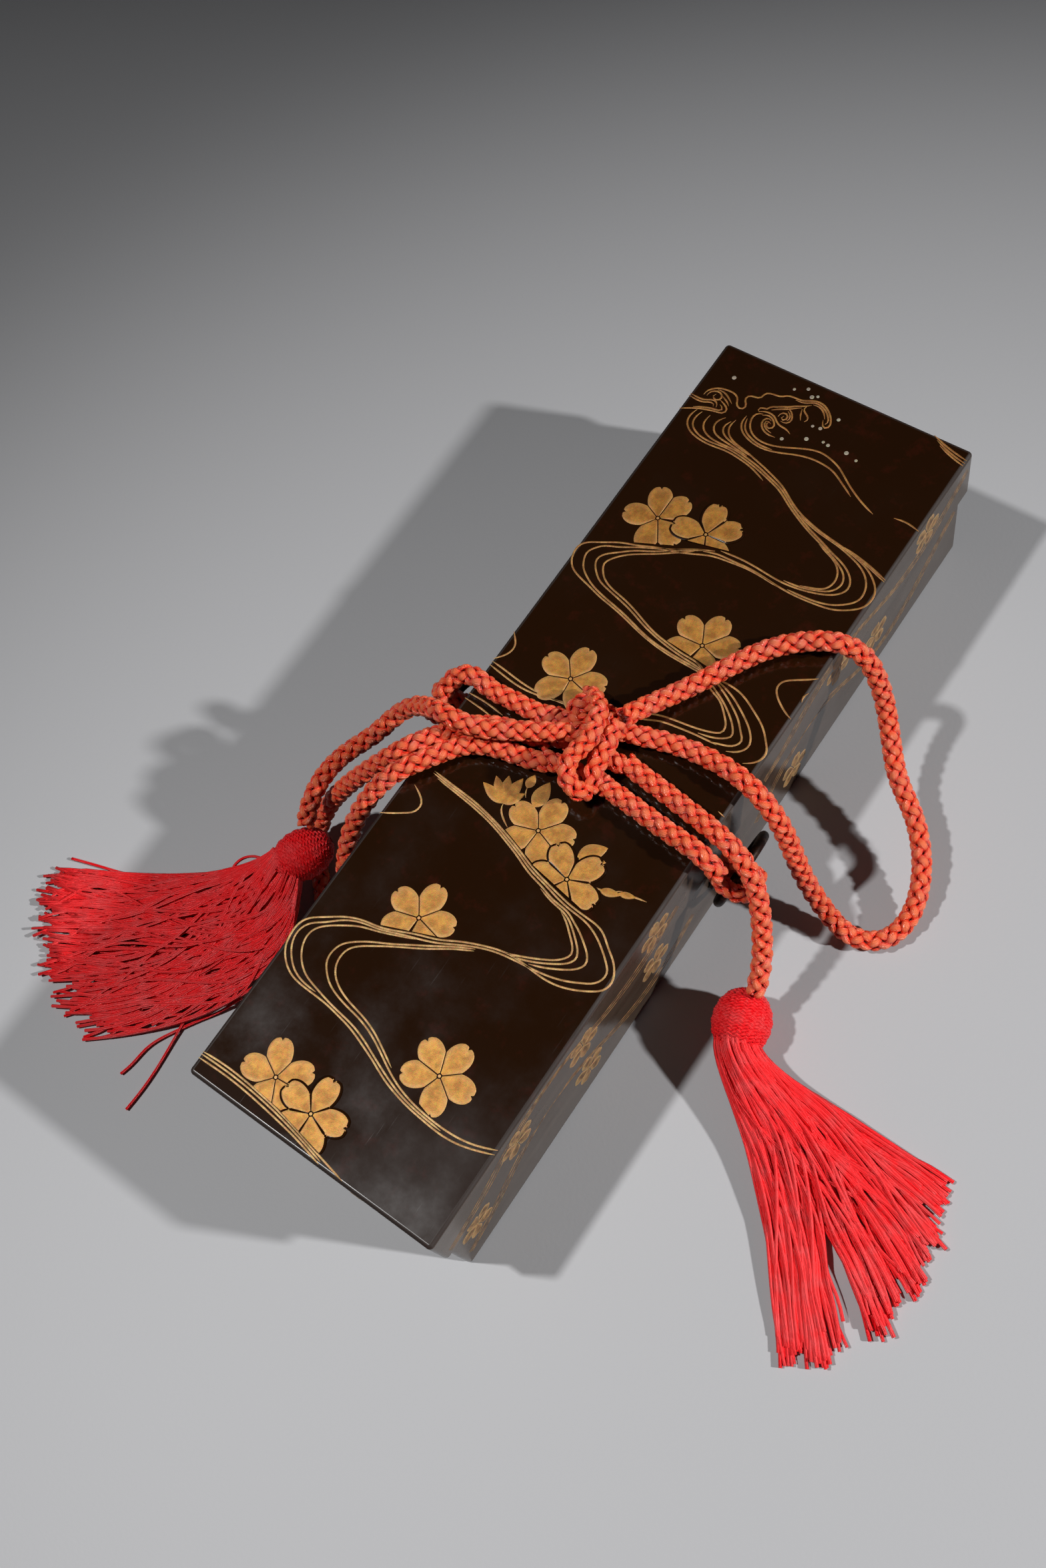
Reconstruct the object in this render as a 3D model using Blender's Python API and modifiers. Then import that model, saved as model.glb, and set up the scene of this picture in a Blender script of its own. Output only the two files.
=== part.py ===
"""A lacquered wooden letter box with a lift-off lid, two side rings and a tied silk cord.

Blender 4.5, metres, +Z up. The origin is under the middle of the box, on the surface it stands on.
X runs across the box, Y along it, and its two rings are on the long sides.
Each piece is one object with its own material.
"""

import math

import bmesh
import bpy
import numpy as np
from mathutils import Matrix, Vector

MM = 0.001
GAP = 0.3 * MM

# Driving sizes of the box
LID_WIDTH = 80 * MM
LID_LENGTH = 257 * MM
HEIGHT = 48.5 * MM
LID_DEPTH = 18.5 * MM
BODY_STEP = 1.6 * MM
LID_WALL = 2.5 * MM
BODY_WALL = 3.0 * MM
FLOOR_THICKNESS = 3.0 * MM
LIP_HEIGHT = 5.5 * MM
LIP_PLAY = 0.4 * MM
EDGE_ROUND = 1.2 * MM
INNER_ROUND = 1.2 * MM
LIP_ROUND = 0.9 * MM

# Driving sizes of the fittings
EYE_HEIGHT = 15.5 * MM
EYE_REACH = 4.2 * MM
ROSETTE_RADIUS = 8.0 * MM
ROSETTE_THICKNESS = 1.1 * MM
ROSETTE_LOBES = 12
STAPLE_RADIUS = 3.0 * MM
STAPLE_WIRE = 0.9 * MM
RING_RADIUS = 10.8 * MM
RING_WIRE = 1.4 * MM
RING_LEAN = math.radians(16)
RING_SLIP = -1.5 * MM

# Driving sizes of the cord and its tassels
CORD_DIAMETER = 6.0 * MM
CORD_RADIUS = CORD_DIAMETER / 2
CORD_SPACING = 2.5 * CORD_DIAMETER
BEND_REACH = 2 * CORD_DIAMETER
HITCH_TURN_RADIUS = 4.4 * MM
HITCH_CORD_RADIUS = 2.6 * MM
HITCH_TURNS = (math.radians(-38), math.radians(-11))
KNOT_SIZE = (8.6 * MM, 13.8 * MM, 7.4 * MM)
KNOT_PLACE = (0.0, -1.5 * MM, 55.6 * MM)
KNOT_TURN = math.radians(24)
TASSEL_HEAD = (8.6 * MM, 9.2 * MM, 8.8 * MM)

RIM_Z = HEIGHT - LID_DEPTH
SHOULDER_Z = RIM_Z - GAP
BODY_HALF_WIDTH = LID_WIDTH / 2 - BODY_STEP

# The cord's routes, in millimetres. Each free strand runs from its first point to its last.
ROUTES = {
    "cord_bow_right": [
        (4.4, 9.6, 57), (6.1, 14.6, 54.8), (9.4, 21.9, 52.3), (15.4, 32.2, 51.8), (20.3, 40.9, 51.8),
        (25.8, 48.5, 52), (32.8, 54.2, 52.8), (38.8, 57.4, 52.9), (45, 59.6, 49.5), (50, 59.6, 42),
        (54.4, 57.6, 32), (59.8, 52.2, 23), (66, 45.8, 17), (74, 40, 13.5), (80.3, 33.5, 11),
        (85.2, 25, 8), (87, 16, 5), (84.3, 7.8, 3.5), (77.3, 4, 3.7), (68, 5.2, 7), (60.5, 7.3, 16),
        (55.8, 8.8, 28), (52, 9.8, 40), (47.6, 10.6, 48), (41.6, 11.6, 52.3), (34.8, 12.6, 52.6),
        (28.1, 12.8, 51.9), (21.7, 12.2, 51.8), (15.6, 10.9, 51.8), (9.6, 9.1, 52),
    ],
    "cord_tail_right": [
        (10.6, 0.8, 52.2), (13.9, 0.2, 51.9), (20.8, -0.6, 51.8), (28.4, -1.7, 52), (35.9, -2.9, 52.7),
        (43, -4.1, 52.6), (49.2, -5.3, 49.6), (54.2, -7.5, 44.3), (58.2, -11.2, 36.4), (61.8, -16.6, 27),
        (64.2, -22.4, 19.4), (65.1, -26.5, 15.7),
    ],
    "cord_ring_right": [
        (9.8, -7.8, 52.2), (14.5, -8.1, 51.8), (24.4, -9.1, 51.8), (33.7, -10, 52.2), (39.5, -10.6, 52.8),
        (43.9, -11.1, 50.7), (46.3, -11.3, 46.4),
    ],
    "cord_bow_left": [
        (-10.6, -4.3, 51.9), (-15, -5.6, 51.8), (-20, -6.6, 51.8), (-25, -8, 51.8), (-30.5, -11, 52),
        (-34.7, -15.2, 52.1), (-38.6, -20, 52.7), (-42.4, -25.2, 52.6), (-47.8, -31, 48.6), (-55, -36.2, 40),
        (-62.1, -40.5, 29.8), (-67.8, -44, 20), (-71.4, -47.6, 11.6), (-72.2, -51.8, 6.4), (-70.2, -56.4, 4),
        (-66.2, -61, 3.4), (-61.2, -65.4, 3.4), (-57.4, -70.2, 3.4), (-55.9, -76, 3.4), (-55.8, -82, 3.4),
        (-55.1, -86.6, 3.5), (-52.6, -89.8, 3.5), (-49, -90.9, 3.5), (-45.4, -89.8, 3.5), (-43, -86.8, 3.5),
        (-42.3, -82.5, 3.6), (-43, -77.4, 5), (-45.2, -71.4, 8.8), (-48.4, -64.8, 14.6), (-50.8, -58.4, 22.5),
        (-51, -52.2, 31), (-49.4, -46.2, 38.8), (-46.2, -40.4, 46), (-42.4, -34.9, 51.2), (-38.2, -29.1, 52.9),
        (-34.3, -23, 52.2), (-30.4, -17.9, 51.8), (-24.3, -14.3, 51.8), (-17.4, -12.6, 51.8), (-11, -11.2, 51.8),
        (-7, -10, 52.2),
    ],
    "cord_tail_left": [
        (-8.4, -3.6, 58.4), (-13.5, -6.2, 58.1), (-18.5, -8.9, 58), (-23.5, -11.5, 58), (-29, -13.4, 58.2),
        (-34, -14.3, 58.8), (-39.4, -14.2, 57.4), (-45.8, -13.6, 52), (-52, -14.2, 46.4), (-57.2, -18, 41.2),
        (-61.5, -24.4, 36.4), (-66.2, -31.5, 33.4), (-68.7, -38.9, 31.8), (-69.4, -46.2, 29.2),
        (-69.4, -51.8, 24.8), (-69.4, -54.1, 22),
    ],
    "cord_ring_left": [
        (-12.4, 2.6, 52.3), (-16, 1.2, 51.9), (-20.5, 0.4, 51.8), (-26.4, 0.2, 51.8), (-33.6, -0.2, 52.2),
        (-39, 0.3, 53), (-43.6, -1.2, 51.6), (-46.2, -4.4, 48.4), (-47.2, -7, 45.2),
    ],
}

# A tassel's head, how high its neck lies and, in plan, the two curved edges of its skirt: neck, bend and
# tip, in millimetres. The left tassel's head lies on the low end of the left bow loop.
TASSELS = {
    "tassel_right": {
        "head": (65.2, -33.8, 9.3),
        "heading": math.radians(-72),
        "neck_rest": 2.2,
        "near_edge": ((61, -42), (92, -70), (118.5, -100.5)),
        "far_edge": ((73, -38.5), (103, -38.5), (133, -40.5)),
        "bulge": 0.16,
        "part_at": 0.42,
        "part_depth": 0.19,
    },
    "tassel_left": {
        "head": (-66.9, -61.6, 16.2),
        "heading": math.radians(-118),
        "neck_rest": 6.8,
        "near_edge": ((-61.8, -69), (-51.6, -103), (-94.5, -138)),
        "far_edge": ((-74.4, -65.4), (-93, -86), (-141, -106.5)),
        "bulge": 0.05,
        "part_at": 0.55,
        "part_depth": 0.06,
    },
}
NECK_HEIGHT = 12.5 * MM
TIP_HEIGHT = 2.6 * MM
SKIRT_COLUMNS = 25
SKIRT_ROWS = 8

COLOURS = {
    "lacquer": ((0.012, 0.007, 0.005), 0.12, 0.0),
    "patinated_metal": ((0.030, 0.028, 0.024), 0.40, 1.0),
    "braided_silk": ((0.85, 0.13, 0.07), 0.55, 0.0),
    "silk_thread": ((0.75, 0.03, 0.03), 0.50, 0.0),
}


def clear_scene():
    for thing in list(bpy.data.objects):
        bpy.data.objects.remove(thing)


def make_collection(name):
    collection = bpy.data.collections.new(name)
    bpy.context.scene.collection.children.link(collection)
    return collection


def make_material(name, finish):
    colour, roughness, metallic = COLOURS[finish]
    material = bpy.data.materials.new(name)
    material.use_nodes = True
    shader = material.node_tree.nodes["Principled BSDF"]
    shader.inputs["Base Color"].default_value = (*colour, 1.0)
    shader.inputs["Roughness"].default_value = roughness
    shader.inputs["Metallic"].default_value = metallic
    return material


def add_object(name, data, collection, finish=None):
    thing = bpy.data.objects.new(name, data)
    collection.objects.link(thing)
    if finish:
        data.materials.append(make_material(name + "_finish", finish))
    return thing


def mesh_from_bmesh(name, shape):
    bmesh.ops.recalc_face_normals(shape, faces=shape.faces)
    mesh = bpy.data.meshes.new(name)
    shape.to_mesh(mesh)
    shape.free()
    return mesh


def rounded_block(name, size, low_z, collection, rounding, low=1.0, high=1.0, finish=None):
    """A box centred on the origin in plan. low and high are the shares of the rounding at its ends."""
    shape = bmesh.new()
    bmesh.ops.create_cube(shape, size=1.0)
    bmesh.ops.scale(shape, vec=size, verts=shape.verts)
    bmesh.ops.translate(shape, vec=(0, 0, low_z + size[2] / 2), verts=shape.verts)
    thing = add_object(name, mesh_from_bmesh(name, shape), collection, finish)
    weight = thing.data.attributes.new("bevel_weight_edge", "FLOAT", "EDGE")
    for edge in thing.data.edges:
        heights = [thing.data.vertices[i].co.z for i in edge.vertices]
        if max(heights) - min(heights) > size[2] / 2:
            weight.data[edge.index].value = 1.0
        else:
            weight.data[edge.index].value = low if heights[0] < low_z + size[2] / 2 else high
    bevel = thing.modifiers.new("rounded_edges", "BEVEL")
    bevel.limit_method = "WEIGHT"
    bevel.width = rounding
    bevel.segments = 3
    return thing


def as_cutter(thing):
    thing.hide_render = True
    thing.display_type = "WIRE"
    return thing


def add_boolean(thing, other, operation):
    modifier = thing.modifiers.new(operation.lower() + "_" + other.name, "BOOLEAN")
    modifier.operation = operation
    modifier.solver = "EXACT"
    modifier.object = other


def make_body(parts, cutters):
    """The lower box: straight walls, a flat floor, and a thin lip inside the shoulder that the lid stands on."""
    width = 2 * BODY_HALF_WIDTH
    length = LID_LENGTH - 2 * BODY_STEP
    size = (width, length, SHOULDER_Z)
    body = rounded_block("box_body", size, 0, parts, EDGE_ROUND, high=0.25, finish="lacquer")
    lip_width = LID_WIDTH - 2 * (LID_WALL + LIP_PLAY)
    lip_length = LID_LENGTH - 2 * (LID_WALL + LIP_PLAY)
    lip_low = SHOULDER_Z - 4 * EDGE_ROUND
    lip_size = (lip_width, lip_length, SHOULDER_Z + LIP_HEIGHT - lip_low)
    lip = as_cutter(rounded_block("lip_block", lip_size, lip_low, cutters, LIP_ROUND, low=0.4, high=0.4))
    hollow_size = (width - 2 * BODY_WALL, length - 2 * BODY_WALL, HEIGHT)
    hollow_low = FLOOR_THICKNESS
    hollow = as_cutter(rounded_block("body_hollow", hollow_size, hollow_low, cutters, INNER_ROUND, high=0))
    add_boolean(body, lip, "UNION")
    add_boolean(body, hollow, "DIFFERENCE")
    return body


def make_lid(parts, cutters):
    """The lid: a shallow tray turned over, a little wider than the box it covers."""
    lid_size = (LID_WIDTH, LID_LENGTH, LID_DEPTH)
    lid = rounded_block("lid", lid_size, RIM_Z, parts, EDGE_ROUND, low=0.2, finish="lacquer")
    hollow_size = (LID_WIDTH - 2 * LID_WALL, LID_LENGTH - 2 * LID_WALL, 2 * (LID_DEPTH - LID_WALL))
    hollow_low = HEIGHT - LID_WALL - hollow_size[2]
    hollow = as_cutter(rounded_block("lid_hollow", hollow_size, hollow_low, cutters, INNER_ROUND, low=0))
    add_boolean(lid, hollow, "DIFFERENCE")
    return lid


def curve_tube(name, points, radius, collection, sides=10, finish=None):
    """A round tube with filled ends along points, as a POLY curve."""
    curve = bpy.data.curves.new(name, "CURVE")
    curve.dimensions = "3D"
    curve.bevel_depth = radius
    curve.bevel_resolution = sides // 2 - 2
    curve.use_fill_caps = True
    spline = curve.splines.new("POLY")
    spline.points.add(len(points) - 1)
    for point, place in zip(spline.points, points):
        point.co = (*place, 1.0)
    return add_object(name, curve, collection, finish)


def curve_to_mesh(tube):
    """The tube as a closed mesh object of the same name, so that a Boolean can use it."""
    depsgraph = bpy.context.evaluated_depsgraph_get()
    mesh = bpy.data.meshes.new_from_object(tube.evaluated_get(depsgraph))
    name, collection = tube.name, tube.users_collection[0]
    placing = tube.matrix_world.copy()
    bpy.data.objects.remove(tube)
    shape = bmesh.new()
    shape.from_mesh(mesh)
    bmesh.ops.remove_doubles(shape, verts=shape.verts, dist=0.01 * MM)
    thing = add_object(name, mesh_from_bmesh(name, shape), collection)
    thing.matrix_world = placing
    return thing


def make_rosette(side_name, side, parts, cutters):
    """A twelve-lobed washer on the box's side, with a low boss and a staple that holds the ring."""
    outer_face = BODY_HALF_WIDTH + GAP
    curve = bpy.data.curves.new("ring_plate_" + side_name, "CURVE")
    curve.dimensions = "2D"
    curve.fill_mode = "BOTH"
    curve.extrude = ROSETTE_THICKNESS / 2
    spline = curve.splines.new("POLY")
    count = 4 * ROSETTE_LOBES
    spline.points.add(count - 1)
    for i, point in enumerate(spline.points):
        angle = 2 * math.pi * i / count
        radius = ROSETTE_RADIUS * (0.93 + 0.07 * abs(math.cos(ROSETTE_LOBES * angle / 2)))
        point.co = (radius * math.cos(angle), radius * math.sin(angle), 0, 1)
    spline.use_cyclic_u = True
    washer = add_object("ring_plate_" + side_name, curve, parts)
    washer.rotation_euler = (0, side * math.pi / 2, 0)
    washer.location = (side * (outer_face + ROSETTE_THICKNESS / 2), 0, EYE_HEIGHT)
    bpy.context.view_layer.update()
    plate = curve_to_mesh(washer)
    plate.data.materials.append(make_material(plate.name + "_finish", "patinated_metal"))

    boss_shape = bmesh.new()
    bmesh.ops.create_uvsphere(boss_shape, u_segments=20, v_segments=8, radius=1.0)
    bmesh.ops.scale(boss_shape, vec=(0.7 * MM, 4.4 * MM, 4.4 * MM), verts=boss_shape.verts)
    boss = as_cutter(add_object("boss_" + side_name, mesh_from_bmesh("boss_" + side_name, boss_shape), cutters))
    boss.location = (side * (outer_face + ROSETTE_THICKNESS), 0, EYE_HEIGHT)
    add_boolean(plate, boss, "UNION")

    eye_x = BODY_HALF_WIDTH + EYE_REACH
    foot_x = outer_face + ROSETTE_THICKNESS / 2
    path = [(side * foot_x, 0, EYE_HEIGHT - STAPLE_RADIUS)]
    for i in range(9):
        angle = math.pi * (i / 8 - 0.5)
        reach = eye_x + STAPLE_RADIUS * math.cos(angle)
        path.append((side * reach, 0, EYE_HEIGHT + STAPLE_RADIUS * math.sin(angle)))
    path.append((side * foot_x, 0, EYE_HEIGHT + STAPLE_RADIUS))
    staple = as_cutter(curve_to_mesh(curve_tube("staple_" + side_name, path, STAPLE_WIRE, cutters)))
    add_boolean(plate, staple, "UNION")
    return plate


def ring_point(side, angle):
    """A point on the middle of a ring's wire. Angle 0 is its highest point and grows towards +Y."""
    centre_z = EYE_HEIGHT + RING_RADIUS * math.cos(RING_LEAN)
    centre_x = BODY_HALF_WIDTH + EYE_REACH + RING_RADIUS * math.sin(RING_LEAN)
    rise = RING_RADIUS * math.cos(angle)
    x = centre_x + rise * math.sin(RING_LEAN)
    y = RING_SLIP + RING_RADIUS * math.sin(angle)
    return Vector((side * x, y, centre_z + rise * math.cos(RING_LEAN)))


def make_torus(name, major, minor, collection, segments, sides, finish=None):
    """A ring about its own Z axis."""
    bpy.ops.mesh.primitive_torus_add(
        major_radius=major, minor_radius=minor, major_segments=segments, minor_segments=sides
    )
    torus = bpy.context.object
    torus.name = name
    torus.data.name = name
    for owner in list(torus.users_collection):
        owner.objects.unlink(torus)
    collection.objects.link(torus)
    torus.data.shade_smooth()
    if finish:
        torus.data.materials.append(make_material(name + "_finish", finish))
    return torus


def make_ring(side_name, side, parts):
    ring = make_torus("ring_" + side_name, RING_RADIUS, RING_WIRE, parts, 32, 8, "patinated_metal")
    middle = (ring_point(side, 0) + ring_point(side, math.pi)) / 2
    ring.rotation_euler = (0, side * (math.pi / 2 + RING_LEAN), 0)
    ring.location = middle
    return ring


def make_hitch(side_name, side, parts, cutters):
    """Where the cord's own end is tied on: two turns round the top of the ring."""
    turns = []
    for number, angle in enumerate(HITCH_TURNS):
        name = "cord_hitch_" + side_name if number == 0 else "hitch_turn_" + side_name
        collection = parts if number == 0 else cutters
        finish = "braided_silk" if number == 0 else None
        turn = make_torus(name, HITCH_TURN_RADIUS, HITCH_CORD_RADIUS, collection, 18, 8, finish)
        along = ring_point(side, angle + 0.01) - ring_point(side, angle - 0.01)
        turn.rotation_euler = along.to_track_quat("Z", "X").to_euler()
        turn.location = ring_point(side, angle)
        turns.append(turn)
    add_boolean(turns[0], as_cutter(turns[1]), "UNION")
    return turns[0]


def smooth_route(points, spacing):
    """Points on a natural cubic curve through points, spacing apart where it is straight and closer in bends."""
    points = np.array(points, float)
    chords = np.linalg.norm(np.diff(points, axis=0), axis=1)
    knots = np.concatenate(([0.0], np.cumsum(chords)))
    count = len(points)
    matrix = np.eye(count)
    right = np.zeros_like(points)
    for i in range(1, count - 1):
        before, after = chords[i - 1], chords[i]
        matrix[i, i - 1 : i + 2] = (before, 2 * (before + after), after)
        step_after = (points[i + 1] - points[i]) / after
        step_before = (points[i] - points[i - 1]) / before
        right[i] = 6 * (step_after - step_before)
    bend = np.linalg.solve(matrix, right)
    samples = np.linspace(0, knots[-1], 40 * count)
    place = np.clip(np.searchsorted(knots, samples, side="right") - 1, 0, count - 2)
    width = chords[place][:, None]
    back = (samples - knots[place])[:, None]
    ahead = width - back
    fine = (bend[place] * ahead**3 + bend[place + 1] * back**3) / (6 * width)
    fine += (points[place] / width - bend[place] * width / 6) * ahead
    fine += (points[place + 1] / width - bend[place + 1] * width / 6) * back
    steps = np.diff(fine, axis=0)
    lengths = np.linalg.norm(steps, axis=1)
    headings = steps / lengths[:, None]
    turning = np.concatenate(([0.0], np.linalg.norm(np.diff(headings, axis=0), axis=1)))
    walked = np.concatenate(([0.0], np.cumsum(lengths + BEND_REACH * turning)))
    pieces = max(2, math.ceil(walked[-1] / spacing))
    wanted = np.linspace(0, walked[-1], pieces + 1)
    return np.stack([np.interp(wanted, walked, fine[:, axis]) for axis in range(3)], axis=1)


def make_cord(name, parts):
    """One free strand of the round braided cord."""
    route = smooth_route(np.array(ROUTES[name]) * MM, CORD_SPACING)
    return curve_tube(name, route.tolist(), CORD_RADIUS, parts, sides=10, finish="braided_silk")


def make_knot(parts):
    """The bow's knot on the lid, as one lumpy solid: two wrapped turns with a waist between them."""
    shape = bmesh.new()
    bmesh.ops.create_uvsphere(shape, u_segments=24, v_segments=14, radius=1.0)
    for vertex in shape.verts:
        along = vertex.co.y
        round_angle = math.atan2(vertex.co.z, vertex.co.x)
        waist = 1 - 0.12 * math.exp(-((along - 0.05) / 0.2) ** 2)
        strands = 1 + 0.05 * math.cos(5 * round_angle + 4 * along)
        vertex.co.x *= waist * strands
        vertex.co.z *= waist * strands
    bmesh.ops.scale(shape, vec=KNOT_SIZE, verts=shape.verts)
    floor = HEIGHT + GAP - KNOT_PLACE[2]
    for vertex in shape.verts:
        vertex.co.z = max(vertex.co.z, floor)
    knot = add_object("cord_knot", mesh_from_bmesh("cord_knot", shape), parts, "braided_silk")
    knot.location = KNOT_PLACE
    knot.rotation_euler = (0, 0, KNOT_TURN)
    knot.data.shade_smooth()
    return knot


def bent_line(ends, share):
    """A point on the quadratic curve through ends = (start, bend, finish), in millimetres."""
    start, bend, finish = (Vector(point) for point in ends)
    return start * (1 - share) ** 2 + bend * 2 * share * (1 - share) + finish * share**2


def skirt_reach(across, setting):
    """How far a strand of the skirt reaches past or short of the line between the outer strands' tips."""
    ragged = 0.03 * math.sin(17 * across) + 0.025 * math.sin(41 * across + 1)
    bulge = setting["bulge"] * math.sin(math.pi * across)
    part = setting["part_depth"] * math.exp(-(((across - setting["part_at"]) / 0.035) ** 2))
    return 0.97 + ragged + bulge - part


def make_skirt(name, setting, collection):
    """The tassel's threads, lying fanned out: thick at the neck and thin and ragged at the tips."""
    shape = bmesh.new()
    grid = {}
    for column in range(SKIRT_COLUMNS):
        across = column / (SKIRT_COLUMNS - 1)
        reach = skirt_reach(across, setting)
        for row in range(SKIRT_ROWS):
            share = reach * row / (SKIRT_ROWS - 1)
            near = bent_line(setting["near_edge"], share)
            far = bent_line(setting["far_edge"], share)
            place = near.lerp(far, across) * MM
            crown = math.sin(math.pi * (0.08 + 0.84 * across)) ** 0.5
            fall = max(0, 1 - share) ** 1.4
            groove = 1 + 0.10 * math.cos(2 * math.pi * 9 * across)
            top = (TIP_HEIGHT + (NECK_HEIGHT - TIP_HEIGHT) * fall) * crown * groove
            low = GAP + setting["neck_rest"] * MM * fall
            grid[column, row, 1] = shape.verts.new((place.x, place.y, low + top))
            grid[column, row, 0] = shape.verts.new((place.x, place.y, low))
    last_column, last_row = SKIRT_COLUMNS - 1, SKIRT_ROWS - 1
    for column in range(last_column):
        for row in range(last_row):
            for level in (0, 1):
                ring = ((column, row), (column + 1, row), (column + 1, row + 1), (column, row + 1))
                shape.faces.new([grid[a, b, level] for a, b in ring])
        for row in (0, last_row):
            wall = ((column, row, 0), (column + 1, row, 0), (column + 1, row, 1), (column, row, 1))
            shape.faces.new([grid[key] for key in wall])
    for row in range(last_row):
        for column in (0, last_column):
            wall = ((column, row, 0), (column, row + 1, 0), (column, row + 1, 1), (column, row, 1))
            shape.faces.new([grid[key] for key in wall])
    return as_cutter(add_object(name + "_skirt", mesh_from_bmesh(name + "_skirt", shape), collection))


def make_tassel(name, parts, cutters):
    """A tassel: a round netted head over the threads, and the skirt of threads below it."""
    setting = TASSELS[name]
    shape = bmesh.new()
    bmesh.ops.create_uvsphere(shape, u_segments=20, v_segments=12, radius=1.0)
    bmesh.ops.rotate(shape, cent=(0, 0, 0), matrix=Matrix.Rotation(math.pi / 2, 3, "Y"), verts=shape.verts)
    bmesh.ops.scale(shape, vec=(TASSEL_HEAD[1], TASSEL_HEAD[0], TASSEL_HEAD[2]), verts=shape.verts)
    tassel = add_object(name, mesh_from_bmesh(name, shape), parts, "silk_thread")
    tassel.location = Vector(setting["head"]) * MM
    tassel.rotation_euler = (0, 0, setting["heading"])
    add_boolean(tassel, make_skirt(name, setting, cutters), "UNION")
    return tassel


def build():
    clear_scene()
    parts = make_collection("lacquer_letter_box")
    cutters = make_collection("cutters")
    make_body(parts, cutters)
    make_lid(parts, cutters)
    for side_name, side in (("left", -1), ("right", 1)):
        make_rosette(side_name, side, parts, cutters)
        make_ring(side_name, side, parts)
        make_hitch(side_name, side, parts, cutters)
        make_tassel("tassel_" + side_name, parts, cutters)
    for name in ROUTES:
        make_cord(name, parts)
    make_knot(parts)


build()
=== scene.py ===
import math
import random

import bmesh
import bpy
import numpy as np
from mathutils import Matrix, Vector


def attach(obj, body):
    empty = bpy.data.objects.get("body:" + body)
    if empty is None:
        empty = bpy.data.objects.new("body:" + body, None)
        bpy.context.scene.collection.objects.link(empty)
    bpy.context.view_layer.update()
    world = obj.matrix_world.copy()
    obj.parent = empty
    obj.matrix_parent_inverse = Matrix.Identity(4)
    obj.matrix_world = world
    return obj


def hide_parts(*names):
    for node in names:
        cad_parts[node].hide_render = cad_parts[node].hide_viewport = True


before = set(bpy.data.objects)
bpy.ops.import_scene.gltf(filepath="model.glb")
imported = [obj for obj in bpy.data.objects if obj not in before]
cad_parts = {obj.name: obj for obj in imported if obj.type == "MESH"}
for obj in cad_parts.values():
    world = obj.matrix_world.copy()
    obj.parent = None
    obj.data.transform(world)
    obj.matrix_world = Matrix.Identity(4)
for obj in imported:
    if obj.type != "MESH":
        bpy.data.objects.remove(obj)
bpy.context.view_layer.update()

# The camera looks down over the near right corner of the box, as for a catalogue picture, and is turned
# so that the box lies aslant, from the near left to the far right.
camera = bpy.data.objects.new("camera", bpy.data.cameras.new("camera"))
bpy.context.scene.collection.objects.link(camera)
camera.data.lens = 36.79
camera.data.sensor_width = 36
camera.data.clip_start = 0.02
camera.location = (0.142994, -0.112120, 0.435356)
camera.rotation_euler = [math.radians(turn) for turn in (22.907, 10.373, 35.381)]
bpy.context.scene.camera = camera
bpy.context.scene.view_settings.view_transform = "Standard"


# The cord is round plaited silk, 6 mm thick. Eight flat strands of loose floss are plaited round a core,
# four winding each way, so that they show as eight columns of slanted oval bumps.
# It is limp, and lies where it was laid: over the lid, down the sides and on the table.
MM = 0.001
CORD_RADIUS = 3.0
PLAIT_TURN = 18.4
PLAIT_STRANDS = 4
STRAND_WIDTH = 2.4
STRAND_THICKNESS = 1.55
STRAND_LIFT = 0.62
STRAND_GIRTH = CORD_RADIUS - STRAND_LIFT - STRAND_THICKNESS / 2
CORE_RADIUS = 1.4
CORD_STEP = 0.45
ROUTE_STEP = 2.0

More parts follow.
